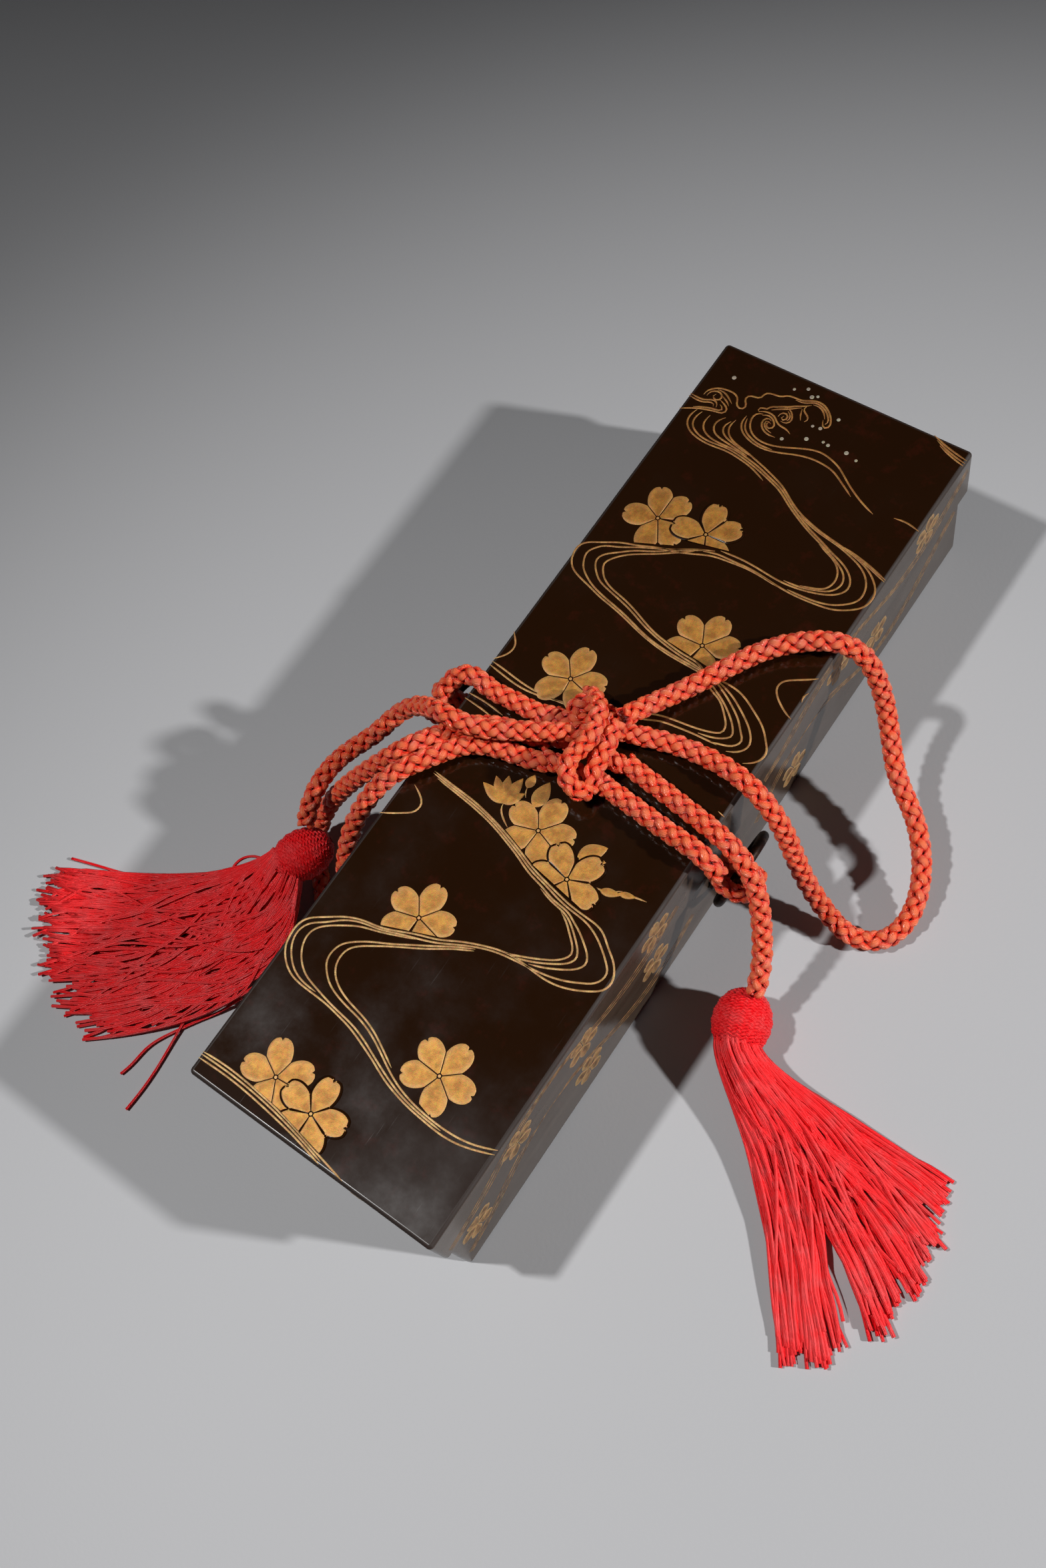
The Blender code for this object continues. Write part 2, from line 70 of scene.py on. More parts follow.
CORD_ROUTES = {
    "cord_bow_right": [
        (4.4, 9.6, 57), (6.1, 14.6, 54.8), (9.4, 21.9, 52.3), (15.4, 32.2, 51.8), (20.3, 40.9, 51.8),
        (25.8, 48.5, 52), (32.8, 54.2, 52.8), (38.8, 57.4, 52.9), (45, 59.6, 49.5), (50, 59.6, 42),
        (54.4, 57.6, 32), (59.8, 52.2, 23), (66, 45.8, 17), (74, 40, 13.5), (80.3, 33.5, 11),
        (85.2, 25, 8), (87, 16, 5), (84.3, 7.8, 3.5), (77.3, 4, 3.7), (68, 5.2, 7), (60.5, 7.3, 16),
        (55.8, 8.8, 28), (52, 9.8, 40), (47.6, 10.6, 48), (41.6, 11.6, 52.3), (34.8, 12.6, 52.6),
        (28.1, 12.8, 51.9), (21.7, 12.2, 51.8), (15.6, 10.9, 51.8), (9.6, 9.1, 52),
    ],
    "cord_tail_right": [
        (10.6, 0.8, 52.2), (13.9, 0.2, 51.9), (20.8, -0.6, 51.8), (28.4, -1.7, 52), (35.9, -2.9, 52.7),
        (43, -4.1, 52.6), (49.2, -5.3, 49.6), (54.2, -7.5, 44.3), (58.2, -11.2, 36.4),
        (61.8, -16.6, 27), (64.2, -22.4, 19.4), (65.1, -26.5, 15.7),
    ],
    "cord_ring_right": [
        (9.8, -7.8, 52.2), (14.5, -8.1, 51.8), (24.4, -9.1, 51.8), (33.7, -10, 52.2),
        (39.5, -10.6, 52.8), (43.9, -11.1, 50.7), (46.3, -11.3, 46.4),
    ],
    "cord_bow_left": [
        (-10.6, -4.3, 51.9), (-15, -5.6, 51.8), (-20, -6.6, 51.8), (-25, -8, 51.8), (-30.5, -11, 52),
        (-34.7, -15.2, 52.1), (-38.6, -20, 52.7), (-42.4, -25.2, 52.6), (-47.8, -31, 48.6),
        (-55, -36.2, 40), (-62.1, -40.5, 29.8), (-67.8, -44, 20), (-71.4, -47.6, 11.6),
        (-72.2, -51.8, 6.4), (-70.2, -56.4, 4), (-66.2, -61, 3.4), (-61.2, -65.4, 3.4),
        (-57.4, -70.2, 3.4), (-55.9, -76, 3.4), (-55.8, -82, 3.4), (-55.1, -86.6, 3.5),
        (-52.6, -89.8, 3.5), (-49, -90.9, 3.5), (-45.4, -89.8, 3.5), (-43, -86.8, 3.5),
        (-42.3, -82.5, 3.6), (-43, -77.4, 5), (-45.2, -71.4, 8.8), (-48.4, -64.8, 14.6),
        (-50.8, -58.4, 22.5), (-51, -52.2, 31), (-49.4, -46.2, 38.8), (-46.2, -40.4, 46),
        (-42.4, -34.9, 51.2), (-38.2, -29.1, 52.9), (-34.3, -23, 52.2), (-30.4, -17.9, 51.8),
        (-24.3, -14.3, 51.8), (-17.4, -12.6, 51.8), (-11, -11.2, 51.8), (-7, -10, 52.2),
    ],
    "cord_tail_left": [
        (-8.4, -3.6, 58.4), (-13.5, -6.2, 58.1), (-18.5, -8.9, 58), (-23.5, -11.5, 58),
        (-29, -13.4, 58.2), (-34, -14.3, 58.8), (-39.4, -14.2, 57.4), (-45.8, -13.6, 52),
        (-52, -14.2, 46.4), (-57.2, -18, 41.2), (-61.5, -24.4, 36.4), (-66.2, -31.5, 33.4),
        (-68.7, -38.9, 31.8), (-69.4, -46.2, 29.2), (-69.4, -51.8, 24.8), (-69.4, -54.1, 22),
    ],
    "cord_ring_left": [
        (-12.4, 2.6, 52.3), (-16, 1.2, 51.9), (-20.5, 0.4, 51.8), (-26.4, 0.2, 51.8),
        (-33.6, -0.2, 52.2), (-39, 0.3, 53), (-43.6, -1.2, 51.6), (-46.2, -4.4, 48.4),
        (-47.2, -7, 45.2),
    ],
}


def smooth_line(points, spacing):
    """Evenly spaced points, in millimetres, on a natural cubic curve through points."""
    points = np.array(points, float)
    chords = np.linalg.norm(np.diff(points, axis=0), axis=1)
    knots = np.concatenate(([0.0], np.cumsum(chords)))
    count = len(points)
    matrix = np.eye(count)
    right = np.zeros_like(points)
    for i in range(1, count - 1):
        matrix[i, i - 1 : i + 2] = (chords[i - 1], 2 * (chords[i - 1] + chords[i]), chords[i])
        slopes = np.diff(points[i - 1 : i + 2], axis=0) / chords[i - 1 : i + 1, None]
        right[i] = 6 * (slopes[1] - slopes[0])
    bend = np.linalg.solve(matrix, right)
    samples = np.linspace(0, knots[-1], 60 * count)
    place = np.clip(np.searchsorted(knots, samples, side="right") - 1, 0, count - 2)
    width = chords[place][:, None]
    back = (samples - knots[place])[:, None]
    ahead = width - back
    fine = (bend[place] * ahead**3 + bend[place + 1] * back**3) / (6 * width)
    fine += (points[place] / width - bend[place] * width / 6) * ahead
    fine += (points[place + 1] / width - bend[place + 1] * width / 6) * back
    walked = np.concatenate(([0.0], np.cumsum(np.linalg.norm(np.diff(fine, axis=0), axis=1))))
    pieces = max(2, math.ceil(walked[-1] / spacing))
    wanted = np.linspace(0, walked[-1], pieces + 1)
    return np.stack([np.interp(wanted, walked, fine[:, axis]) for axis in range(fine.shape[1])], axis=1)


def unit(rows):
    """Each row of an array as a vector of length one."""
    return rows / np.maximum(np.linalg.norm(rows, axis=1), 1e-12)[:, None]


def directions(path):
    """For each point of a path: ahead, and two directions square to it that turn as little as can be."""
    ahead = unit(np.gradient(path, axis=0))
    first = np.cross(ahead[0], (0.0, 0.0, 1.0))
    if np.linalg.norm(first) < 0.2:
        first = np.cross(ahead[0], (0.0, 1.0, 0.0))
    side = np.zeros_like(path)
    side[0] = first / np.linalg.norm(first)
    for i in range(1, len(path)):
        turned = side[i - 1] - ahead[i] * np.dot(side[i - 1], ahead[i])
        side[i] = turned / np.linalg.norm(turned)
    return ahead, side, np.cross(ahead, side)


def tube_faces(first, rings, sides):
    """The quads of a tube whose points are numbered ring by ring from first, with its two end faces."""
    ring, step = np.meshgrid(np.arange(rings - 1), np.arange(sides), indexing="ij")
    a = first + ring * sides + step
    b = first + ring * sides + (step + 1) % sides
    faces = np.stack([a, b, b + sides, a + sides], axis=-1).reshape(-1, 4).tolist()
    faces.append(list(range(first + sides - 1, first - 1, -1)))
    last = first + (rings - 1) * sides
    faces.append(list(range(last, last + sides)))
    return faces


class Fibres:
    """Gathers tubes, and keeps for each point how proud it stands and where it is across its strand."""

    def __init__(self):
        self.points = []
        self.faces = []
        self.proud = []
        self.across = []
        self.count = 0

    def add(self, points, proud, across):
        rings, sides = points.shape[:2]
        self.points.append(points.reshape(-1, 3))
        self.proud.append(proud.reshape(-1))
        self.across.append(across.reshape(-1))
        self.faces += tube_faces(self.count, rings, sides)
        self.count += rings * sides

    def piece(self, name, material):
        made = add_piece(name, np.concatenate(self.points), self.faces, material)
        set_mark(made, "proud", np.concatenate(self.proud))
        set_mark(made, "across", np.concatenate(self.across))
        return made


def add_piece(name, points, faces, material):
    """A smooth mesh from points in millimetres. It rides on the box."""
    mesh = bpy.data.meshes.new(name)
    mesh.from_pydata((np.asarray(points, float) * MM).tolist(), [], faces)
    mesh.shade_smooth()
    mesh.materials.append(material)
    made = bpy.data.objects.new(name, mesh)
    bpy.context.scene.collection.objects.link(made)
    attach(made, "root")
    return made


def set_mark(made, name, values):
    """Gives each point of a piece a value, which its material reads."""
    attribute = made.data.attributes.new(name, "FLOAT", "POINT")
    attribute.data.foreach_set("value", np.array(values, np.float32))


def plait(fibres, path, girth, phase, strands, width, thickness, lift, sides=8):
    """Adds a round plait along path. girth is the distance of its strands from the path at each point,
    and phase how far they have wound there."""
    side, up = directions(path)[1:]
    girth = np.broadcast_to(girth, len(path))
    corner = np.linspace(0, 2 * math.pi, sides, endpoint=False)
    for way in (1, -1):
        rise = way * np.cos(strands * phase)
        for number in range(strands):
            turn = way * phase + 2 * math.pi * number / strands
            outward = np.cos(turn)[:, None] * side + np.sin(turn)[:, None] * up
            centre = path + outward * (girth + lift * rise)[:, None]
            along = unit(np.gradient(centre, axis=0))
            across = unit(np.cross(along, outward))
            out = np.cross(across, along)
            wide = 0.5 * width * (0.84 + 0.16 * rise)
            points = centre[:, None, :]
            points = points + across[:, None, :] * (wide[:, None] * np.cos(corner))[:, :, None]
            points = points + out[:, None, :] * (0.5 * thickness * np.sin(corner))[None, :, None]
            high = (lift * rise)[:, None] + 0.5 * thickness * np.sin(corner)[None, :]
            proud = np.clip((high + 0.35 * lift) / (1.35 * lift + 0.5 * thickness), 0, 1)
            fibres.add(points, proud, np.broadcast_to(np.cos(corner), (len(path), sides)))


def round_rings(path, side, up, radius, sides):
    """The points of a round tube about path, ring by ring. side and up are square to the path."""
    corner = np.linspace(0, 2 * math.pi, sides, endpoint=False)
    circle = side[:, None, :] * np.cos(corner)[None, :, None]
    circle = circle + up[:, None, :] * np.sin(corner)[None, :, None]
    return path[:, None, :] + circle * np.broadcast_to(radius, len(path))[:, None, None]


def core(fibres, path, radius, sides=8):
    """Adds the plain round core of a plait. It is marked as wholly hidden, so it takes the painted shade
    colour and shows as the dark in its gaps.
    """
    side, up = directions(path)[1:]
    flat = np.zeros((len(path), sides))
    fibres.add(round_rings(path, side, up, radius, sides), flat, flat)


def cord_fibres(fibres, path, radius=CORD_RADIUS):
    """Adds a length of the cord, or of the same cord drawn a little tighter."""
    share = radius / CORD_RADIUS
    walked = np.concatenate(([0.0], np.cumsum(np.linalg.norm(np.diff(path, axis=0), axis=1))))
    phase = 2 * math.pi * walked / (PLAIT_TURN * share)
    sizes = (STRAND_WIDTH * share, STRAND_THICKNESS * share, STRAND_LIFT * share)
    plait(fibres, path, STRAND_GIRTH * share, phase, PLAIT_STRANDS, *sizes)
    core(fibres, path[::3], CORE_RADIUS * share)


def linear(colour):
    """An sRGB hex colour, as the linear one that the shaders take."""
    parts = [int(colour[i : i + 2], 16) / 255 for i in (1, 3, 5)]
    return (*[p / 12.92 if p <= 0.04045 else ((p + 0.055) / 1.055) ** 2.4 for p in parts], 1.0)


def new_material(name):
    """A material with no nodes yet, and the place of each point on the object, for its patterns."""
    material = bpy.data.materials.new(name)
    material.use_nodes = True
    material.node_tree.nodes.clear()
    return material, add_node(material, "TexCoord", {}).outputs["Object"]


def add_node(material, kind, settings, **inputs):
    """Adds a node with its options. Each input is a value, or another node's output to link. i1 is the
    input numbered 1, and so on."""
    node = material.node_tree.nodes.new("ShaderNode" + kind)
    for option, value in settings.items():
        setattr(node, option, value)
    for socket, value in inputs.items():
        place = node.inputs[int(socket[1:]) if socket[0] == "i" and socket[1:].isdigit() else socket]
        if isinstance(value, bpy.types.NodeSocket):
            material.node_tree.links.new(value, place)
        else:
            place.default_value = value
    return node


def noise(material, where, scale, detail, roughness=0.5):
    """A cloudy pattern, from 0 to 1. scale is how many patches there are to a metre."""
    cloud = add_node(material, "TexNoise", {}, Vector=where, Scale=scale, Detail=detail,
                     Roughness=roughness)
    return cloud.outputs["Fac"]


def mark(material, name):
    """A value that the mesh carries at its points."""
    return add_node(material, "Attribute", {"attribute_name": name}).outputs["Fac"]


def calculated(material, operation, *values):
    """The result of a calculation with one, two or three values."""
    numbered = {"i" + str(number): value for number, value in enumerate(values)}
    return add_node(material, "Math", {"operation": operation}, **numbered).outputs[0]


def stretched(material, value, low, high, new_low=0.0, new_high=1.0):
    """The values from low to high, spread over new_low to new_high."""
    return add_node(material, "MapRange", {}, Value=value, i1=low, i2=high, i3=new_low,
                    i4=new_high).outputs[0]


def mixed(material, share, first, second, how="MIX"):
    """The first colour, with as much of the second as share says. Each is hex, or a node's output."""
    first, second = (linear(tone) if isinstance(tone, str) else tone for tone in (first, second))
    return add_node(material, "MixRGB", {"blend_type": how}, Fac=share, Color1=first,
                    Color2=second).outputs[0]


def surface(material, colour, height, strength, depth, **settings):
    """Ends a material with its surface. height is a fine relief, depth metres deep at full strength."""
    relief = add_node(material, "Bump", {}, Strength=strength, Distance=depth, Height=height)
    shader = add_node(material, "BsdfPrincipled", {}, Normal=relief.outputs[0], **settings)
    if isinstance(colour, str):
        shader.inputs["Base Color"].default_value = linear(colour)
    else:
        material.node_tree.links.new(colour, shader.inputs["Base Color"])
    add_node(material, "OutputMaterial", {}, Surface=shader.outputs[0])
    return shader


# Dyed silk: each strand has a satin gloss along the fine lines of its filaments. Its colour is painted
# paler on its crest as a painted highlight, and a deep red where the others would shade it, as painted
# shade. A filament is 0.02 mm thick, and is drawn at 0.25 mm so that it shows.
def silk(name, crest, middle, shade, roughness, gloss, lines):
    """crest, middle and shade are its colours from where a strand stands proud to where it is hidden:
    crest is a painted highlight and shade is painted shade. lines sets how many filaments are drawn
    across it."""
    material, where = new_material(name)
    proud = mark(material, "proud")
    fine = noise(material, where, 1500.0, 2.0)
    shaken = calculated(material, "MULTIPLY_ADD", fine, 0.5, mark(material, "across"))
    filament = calculated(material, "SINE", calculated(material, "MULTIPLY", shaken, lines))
    body = mixed(material, stretched(material, proud, 0.0, 0.5), shade, middle)
    tip = mixed(material, stretched(material, proud, 0.5, 0.95), body, crest)
    faded = add_node(material, "HueSaturation", {}, Value=0.92, Saturation=0.96, Color=tip)
    uneven = stretched(material, noise(material, where, 180.0, 3.0), 0.45, 0.65)
    colour = mixed(material, uneven, tip, faded.outputs[0])
    shader = surface(material, colour, filament, strength=0.55, depth=0.0003, Roughness=roughness,
                     IOR=1.54)
    shader.inputs["Specular IOR Level"].default_value = gloss
    shader.inputs["Sheen Weight"].default_value = 0.5 * gloss
    shader.inputs["Sheen Roughness"].default_value = 0.35
    shader.inputs["Sheen Tint"].default_value = linear(crest)
    return material


coral_silk = silk("coral_braided_silk", "#ff7a4c", "#f43014", "#5e0302", 0.33, 0.5, 26.0)

cords = {}
for name, route in CORD_ROUTES.items():
    path = smooth_line(route, CORD_STEP)
    fibres = Fibres()
    cord_fibres(fibres, path)
    cords[name] = fibres.piece(name + "_silk", coral_silk)
    cords[name]["length"] = float(np.linalg.norm(np.diff(path, axis=0), axis=1).sum() * MM)
    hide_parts(name)


# The knot of the bow: the cord crosses over the strands that it ties and goes round under them, on top
# of the lid, with a second turn beside it. It is drawn tight, so the strands vanish between its turns.
KNOT_CORD_RADIUS = 2.9
KNOT_TURNS = (
    [(-9.1, 12.3, 52.0), (-5.0, 10.2, 56.0), (-1.5, 7.0, 59.0), (0.2, 3.3, 60.0), (1.2, -0.6, 60.1),
     (0.5, -4.6, 59.8), (-0.2, -8.1, 59.4), (0.8, -11.3, 58.6), (3.1, -13.3, 57.0), (5.4, -13.2, 54.8),
     (6.4, -11, 52.5)],
    [(-0.5, 10.6, 52.5), (2.6, 6.6, 55.6), (4.6, 2.4, 56.4), (5.3, -1.4, 56.2), (5.6, -5.0, 55.8),
     (6.2, -8.0, 54.6), (7.0, -9.4, 52)],
    [(-9.6, 5.6, 52.0), (-8.8, 7.2, 54.6), (-7.2, 8.6, 55.4), (-5.2, 9.4, 54.4), (-3.6, 9.0, 52.0)],
)
TIED_STRANDS = (
    [(-13, -3.4, 52.0), (-1, -1.6, 52.4), (11, -0.4, 52.2)],
    [(-10, -9.6, 52.2), (0, -8.4, 52.2), (10, -7.2, 52.2)],
    [(-12, 2.2, 52.3), (-2, 5.2, 52.6), (9.8, 9.0, 52.4)],
    [(-9, -3.9, 58.0), (-3, 0.6, 56.8), (5.2, 7.6, 54.6)],
)

fibres = Fibres()
for line in KNOT_TURNS + TIED_STRANDS:
    cord_fibres(fibres, smooth_line(line, CORD_STEP), KNOT_CORD_RADIUS)
knot = fibres.piece("bow_knot", coral_silk)
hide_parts("cord_knot")


# Each cord is tied to a side ring. It is the same braid, and goes round the top of the ring's wire in
# two tight turns, drawn a little thinner.
RING_RADIUS = 10.8
RING_LEAN = math.radians(16)
RING_SLIP = -1.5
EYE_X = 42.6
EYE_HEIGHT = 15.5
HITCH_RADIUS = 4.4
HITCH_CORD_RADIUS = 2.6
HITCH_TURNS = (math.radians(-38), math.radians(-11))
HITCH_WINDING = (math.pi, 3.06 * math.pi)
HITCH_PITCH = 1.2
HITCH_POINTS = 60


def ring_point(side, angle):
    """A point on the middle of a ring's wire. Angle 0 is its highest point."""
    reach = EYE_X + RING_RADIUS * math.sin(RING_LEAN) * (1 + math.cos(angle))
    height = EYE_HEIGHT + RING_RADIUS * math.cos(RING_LEAN) * (1 + math.cos(angle))
    return np.array((side * reach, RING_SLIP + RING_RADIUS * math.sin(angle), height))


hitches = {}
for side_name, side in (("left", -1), ("right", 1)):
    fibres = Fibres()
    for angle in HITCH_TURNS:
        along = ring_point(side, angle + 0.01) - ring_point(side, angle - 0.01)
        along /= np.linalg.norm(along)
        outward = np.array((side, 0.0, 0.0)) - along * along[0] * side
        outward /= np.linalg.norm(outward)
        upward = np.cross(along, outward)
        around = np.linspace(*HITCH_WINDING, HITCH_POINTS)
        loop = ring_point(side, angle) + HITCH_RADIUS * np.outer(np.cos(around), outward)
        loop += HITCH_RADIUS * np.outer(np.sin(around), upward)
        loop += np.outer(np.linspace(-HITCH_PITCH / 2, HITCH_PITCH / 2, HITCH_POINTS), along)
        cord_fibres(fibres, smooth_line(loop[::2], CORD_STEP), HITCH_CORD_RADIUS)
    hitches[side_name] = fibres.piece("ring_hitch_" + side_name, coral_silk)
    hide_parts("cord_hitch_" + side_name)


# A tassel on each long end: a round knob worked over in fine netting, and below it a skirt of thin
# twisted threads that lie where they fell, fanned out on the table with ragged ends. The left one's
# threads are curlier, and a few have strayed from it.
STRAYS_LEFT = (
    [(-84, -79, 5), (-92, -82.6, 3), (-99.6, -85.6, 2), (-108.4, -89.9, 1.2), (-116.5, -93.6, 1),
     (-127.9, -97.1, 0.8), (-137.8, -100.1, 0.8)],
    [(-78.5, -68.6, 12), (-83.5, -69.6, 9.5), (-86.6, -72.2, 8), (-87.4, -75.6, 7), (-85, -79.4, 6.4),
     (-81, -82, 6)],
    [(-61.9, -105.5, 3), (-65.4, -111.5, 1.2), (-69.6, -117.6, 0.8), (-73.6, -123.9, 0.8),
     (-77.5, -132.1, 0.8), (-78.4, -138.8, 0.8), (-79.3, -142.4, 0.8)],
    [(-69.7, -101.4, 3), (-71.9, -107.6, 2.4), (-72.8, -115.4, 2), (-72.4, -122.9, 1.2),
     (-71.3, -132.3, 0.8), (-70.7, -141.7, 0.8), (-71, -149.4, 0.8)],
    [(-70.3, -103.7, 3), (-74, -110.8, 1.8), (-76.3, -117.6, 1), (-79, -124.1, 0.8)],
    [(-74.8, -109.9, 3), (-79.3, -116.7, 1.6), (-82.4, -123.9, 0.9), (-86.7, -129, 0.8),
     (-90.3, -134.7, 0.8)],
    [(-60.5, -101.6, 3), (-68.2, -108.1, 1.6), (-74.1, -113.8, 1.6), (-82.1, -120.4, 1.4),
     (-90.4, -126.6, 1.6), (-96.7, -132.1, 1)],
    [(-61.4, -105, 3), (-68.7, -111.3, 0.8), (-75.2, -118.3, 0.8), (-83, -123.8, 0.9), (-91.1, -129, 1),
     (-98.8, -134.9, 0.8)],
    [(-63.3, -99.3, 3), (-67.8, -105.4, 1.6), (-71.6, -111.7, 1.2), (-75.9, -120.7, 0.8),
     (-80.4, -125.5, 0.8)],
)
# near_edge and far_edge are the skirt's two edges on the table, each a bent line. part gives the share
# of the threads before the parting, and where across the skirt its two sides lie at the tips.
TASSELS = {
    "tassel_right": {
        "seed": 12,
        "head": (65.2, -33.8, 9.3),
        "heading": math.radians(-72),
        "neck_rest": 2.2,
        "near_edge": ((63, -45), (93, -65), (118.5, -100.5)),
        "far_edge": ((73, -38.5), (103, -38.5), (133, -40.5)),
        "knob": 7.4,
        "bulge": 0.21,
        "part": (0.4, 0.29, 0.42),
        "threads": 230,
        "thread_radius": 0.5,
        "crossing": 0.13,
        "curl": 0.8,
        "strays": [],
    },
    "tassel_left": {
        "seed": 11,
        "head": (-66.9, -61.6, 16.2),
        "heading": math.radians(-118),
        "neck_rest": 6.8,
        "near_edge": ((-59.5, -68), (-46, -100), (-94.5, -138)),
        "far_edge": ((-74.4, -65.4), (-93, -86), (-141, -106.5)),
        "knob": 6.7,
        "bulge": 0.09,
        "part": (0.52, 0.49, 0.55),
        "threads": 290,
        "thread_radius": 0.46,
        "crossing": 0.28,
        "curl": 3.8,
        "strays": STRAYS_LEFT,
    },
}
KNOB_HALF_LENGTH = 9.0
KNOB_THREADS = 17
KNOB_TWIST = 1.15 * math.pi
KNOB_THREAD_SIZE = (1.15, 0.85, 0.34)
KNOB_ENDS = 0.985
KNOB_POINTS = 46
NECK_RADIUS = 6.0
NECK_HEIGHT = 12.5
BUNDLE_LENGTH = 26
BUNDLE_END = 0.38
TIP_HEIGHT = 2.6
LOCK_THREADS = 5
THREAD_POINTS = 26
STRAY_STEP = 1.0

scarlet_silk = silk("scarlet_silk_thread", "#ff3235", "#f60f1a", "#7c020d", 0.42, 0.24, 9.0)


def bent_line(ends, share):
    """Points on the quadratic curve through ends = (start, bend, finish)."""
    start, bend, finish = (np.array(point, float) for point in ends)
    share = np.asarray(share)[:, None]
    return start * (1 - share) ** 2 + bend * 2 * share * (1 - share) + finish * share**2


def thread(fibres, path, radius, proud, sides=6):
    """Adds one thread of a skirt."""
    side, up = directions(path)[1:]
    marks = np.broadcast_to(np.asarray(proud)[:, None], (len(path), sides))
    across = np.cos(np.linspace(0, 2 * math.pi, sides, endpoint=False))
    fibres.add(round_rings(path, side, up, radius, sides), marks, np.broadcast_to(across, marks.shape))


def skirt(fibres, setting, chance):
    """Adds the threads of a skirt. They leave the knob as a round bundle and spread flat on the table,
    in small locks that part here and there, and some cross over the others."""
    ahead = np.array((math.cos(setting["heading"]), math.sin(setting["heading"]), 0.0))
    near, far = np.array(setting["near_edge"]), np.array(setting["far_edge"])
    aside = np.append(far[0] - near[0], 0.0)
    aside *= NECK_RADIUS / np.linalg.norm(aside)
    neck = np.array(setting["head"]) + 0.55 * KNOB_HALF_LENGTH * ahead
    thin = setting["thread_radius"]
    first, left_end, right_start = setting["part"]
    share = np.linspace(0, 1, THREAD_POINTS)
    held = np.clip(1 - share / BUNDLE_END, 0, 1) ** 1.6
    for number in range(setting["threads"]):
        # a lock of threads shifts, waves and reaches together
        if number % LOCK_THREADS == 0:
            lock_shift = chance.gauss(0, 0.014)
            lock_wave = chance.gauss(0, 0.012 * setting["curl"])
            lock_phase = chance.uniform(0, 6)
            lock_reach = chance.gauss(1, 0.02)
        # where the thread ends across the skirt, on its own side of the parting, and how far it reaches
        across = (number + chance.random()) / setting["threads"]
        if across < first:
            tip = left_end * across / first
        else:
            tip = right_start + (1 - right_start) * (across - first) / (1 - first)
        parting = tip - across
        tip = min(max(tip + lock_shift + chance.gauss(0, 0.012), -0.01), 1.01)
        reach = (1 + setting["bulge"] * math.sin(math.pi * min(max(tip, 0), 1))) * lock_reach
        reach *= 0.985 + 0.02 * math.sin(41 * tip) - 0.12 * chance.random() ** 3
        out = share * reach
        # where it leaves the neck, and the way that it takes over or under the others
        layer = chance.random()
        loose = chance.gauss(0, setting["crossing"]) * (2.4 if layer > 0.8 else 1)
        root = min(max(across + loose, 0.02), 0.98)
        spread = np.clip(out / 0.9, 0, 1)
        place = root + (tip - parting - root) * spread * spread * (3 - 2 * spread) + parting * spread**4
        wave = chance.gauss(0, 0.016 * setting["curl"])
        wave = wave * np.sin(chance.uniform(4, 13) * out + chance.uniform(0, 6))
        wave += lock_wave * np.sin(5 * out + lock_phase)
        place = np.clip(place + wave * np.clip(out, 0, 1) ** 0.6, -0.03, 1.03)
        plan = bent_line(near, out) * (1 - place)[:, None] + bent_line(far, out) * place[:, None]
        # how high it lies: in a round bundle at the neck, and almost flat at the tips
        fall = np.clip(1 - out, 0, 1) ** 1.4
        crown = np.sin(math.pi * (0.08 + 0.84 * np.clip(place, 0, 1))) ** 0.5
        low = 0.3 + setting["neck_rest"] * fall
        thick = (TIP_HEIGHT + (NECK_HEIGHT - TIP_HEIGHT) * fall) * crown
        here = np.clip(layer + 0.2 * np.sin(chance.uniform(4, 9) * out + 9 * layer), 0, 1)
        height = low + thin + here * np.maximum(thick - 2 * thin, 0)
        wide = 2 * root - 1
        start = neck + aside * wide + (0, 0, NECK_RADIUS * (2 * layer - 1) * math.sqrt(1 - wide**2))
        bundle = start + np.outer(BUNDLE_LENGTH * share, ahead)
        path = np.column_stack([plan, height]) * (1 - held)[:, None] + bundle * held[:, None]
        # the lower threads are painted darker as painted shade, and the far ends, out on the pale table,
        # paler as a painted highlight
        proud = np.clip(0.1 + 0.75 * here + 0.35 * np.clip(out, 0, 1) ** 2, 0, 1)
        thread(fibres, path, thin * chance.uniform(0.85, 1.15), proud)


tassels = {}
for name, setting in TASSELS.items():
    chance = random.Random(setting["seed"])
    fibres = Fibres()
    heading = setting["heading"]
    ahead = np.array((math.cos(heading), math.sin(heading), 0.0))
    pole = np.linspace(-KNOB_ENDS, KNOB_ENDS, KNOB_POINTS)
    head_path = np.array(setting["head"]) + np.outer(KNOB_HALF_LENGTH * pole, ahead)
    swell = setting["knob"] * np.sqrt(1 - pole**2) + 0.2
    plait(fibres, head_path, swell, KNOB_TWIST * pole, KNOB_THREADS, *KNOB_THREAD_SIZE, sides=6)
    core(fibres, head_path, swell - 0.45, sides=24)
    skirt(fibres, setting, chance)
    for stray in setting["strays"]:
        path = smooth_line(stray, STRAY_STEP)
        thread(fibres, path, setting["thread_radius"], np.full(len(path), 0.5))
    tassels[name] = fibres.piece(name + "_silk", scarlet_silk)
    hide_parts(name)


# What each length of cord ends in, and the pieces that hang on it; the cord and all on it are limp, and
# were laid down loosely. The loop below works out each cord's path in metres, and nothing uses it.
TIES = {
    "cord_bow_right": ("knot", [knot]),
    "cord_bow_left": ("knot", []),
    "cord_tail_right": ("fitting", [tassels["tassel_right"]]),
    "cord_tail_left": ("fitting", [tassels["tassel_left"]]),
    "cord_ring_right": ("knot", [hitches["right"]]),
    "cord_ring_left": ("knot", [hitches["left"]]),
}
for name, (far_end, on_it) in TIES.items():
    path = smooth_line(CORD_ROUTES[name], ROUTE_STEP) * MM


# The rings are round copper wire, bent and closed, and each swings in a staple through a twelve-petalled
# plate on the box's side. The metal is patinated dark brown, and rubbed lighter where it is handled.
BODY_FACE = 38.7
PLATE_RADIUS = 8.0
PLATE_PETALS = 12
PETAL_STEPS = 12
STAPLE_RADIUS = 3.0
STAPLE_WIRE = 0.9
STAPLE_SIDES = 12
STAPLE_POINTS = 25
RING_WIRE = 1.4
RING_SIDES = 16
RING_STEPS = 96

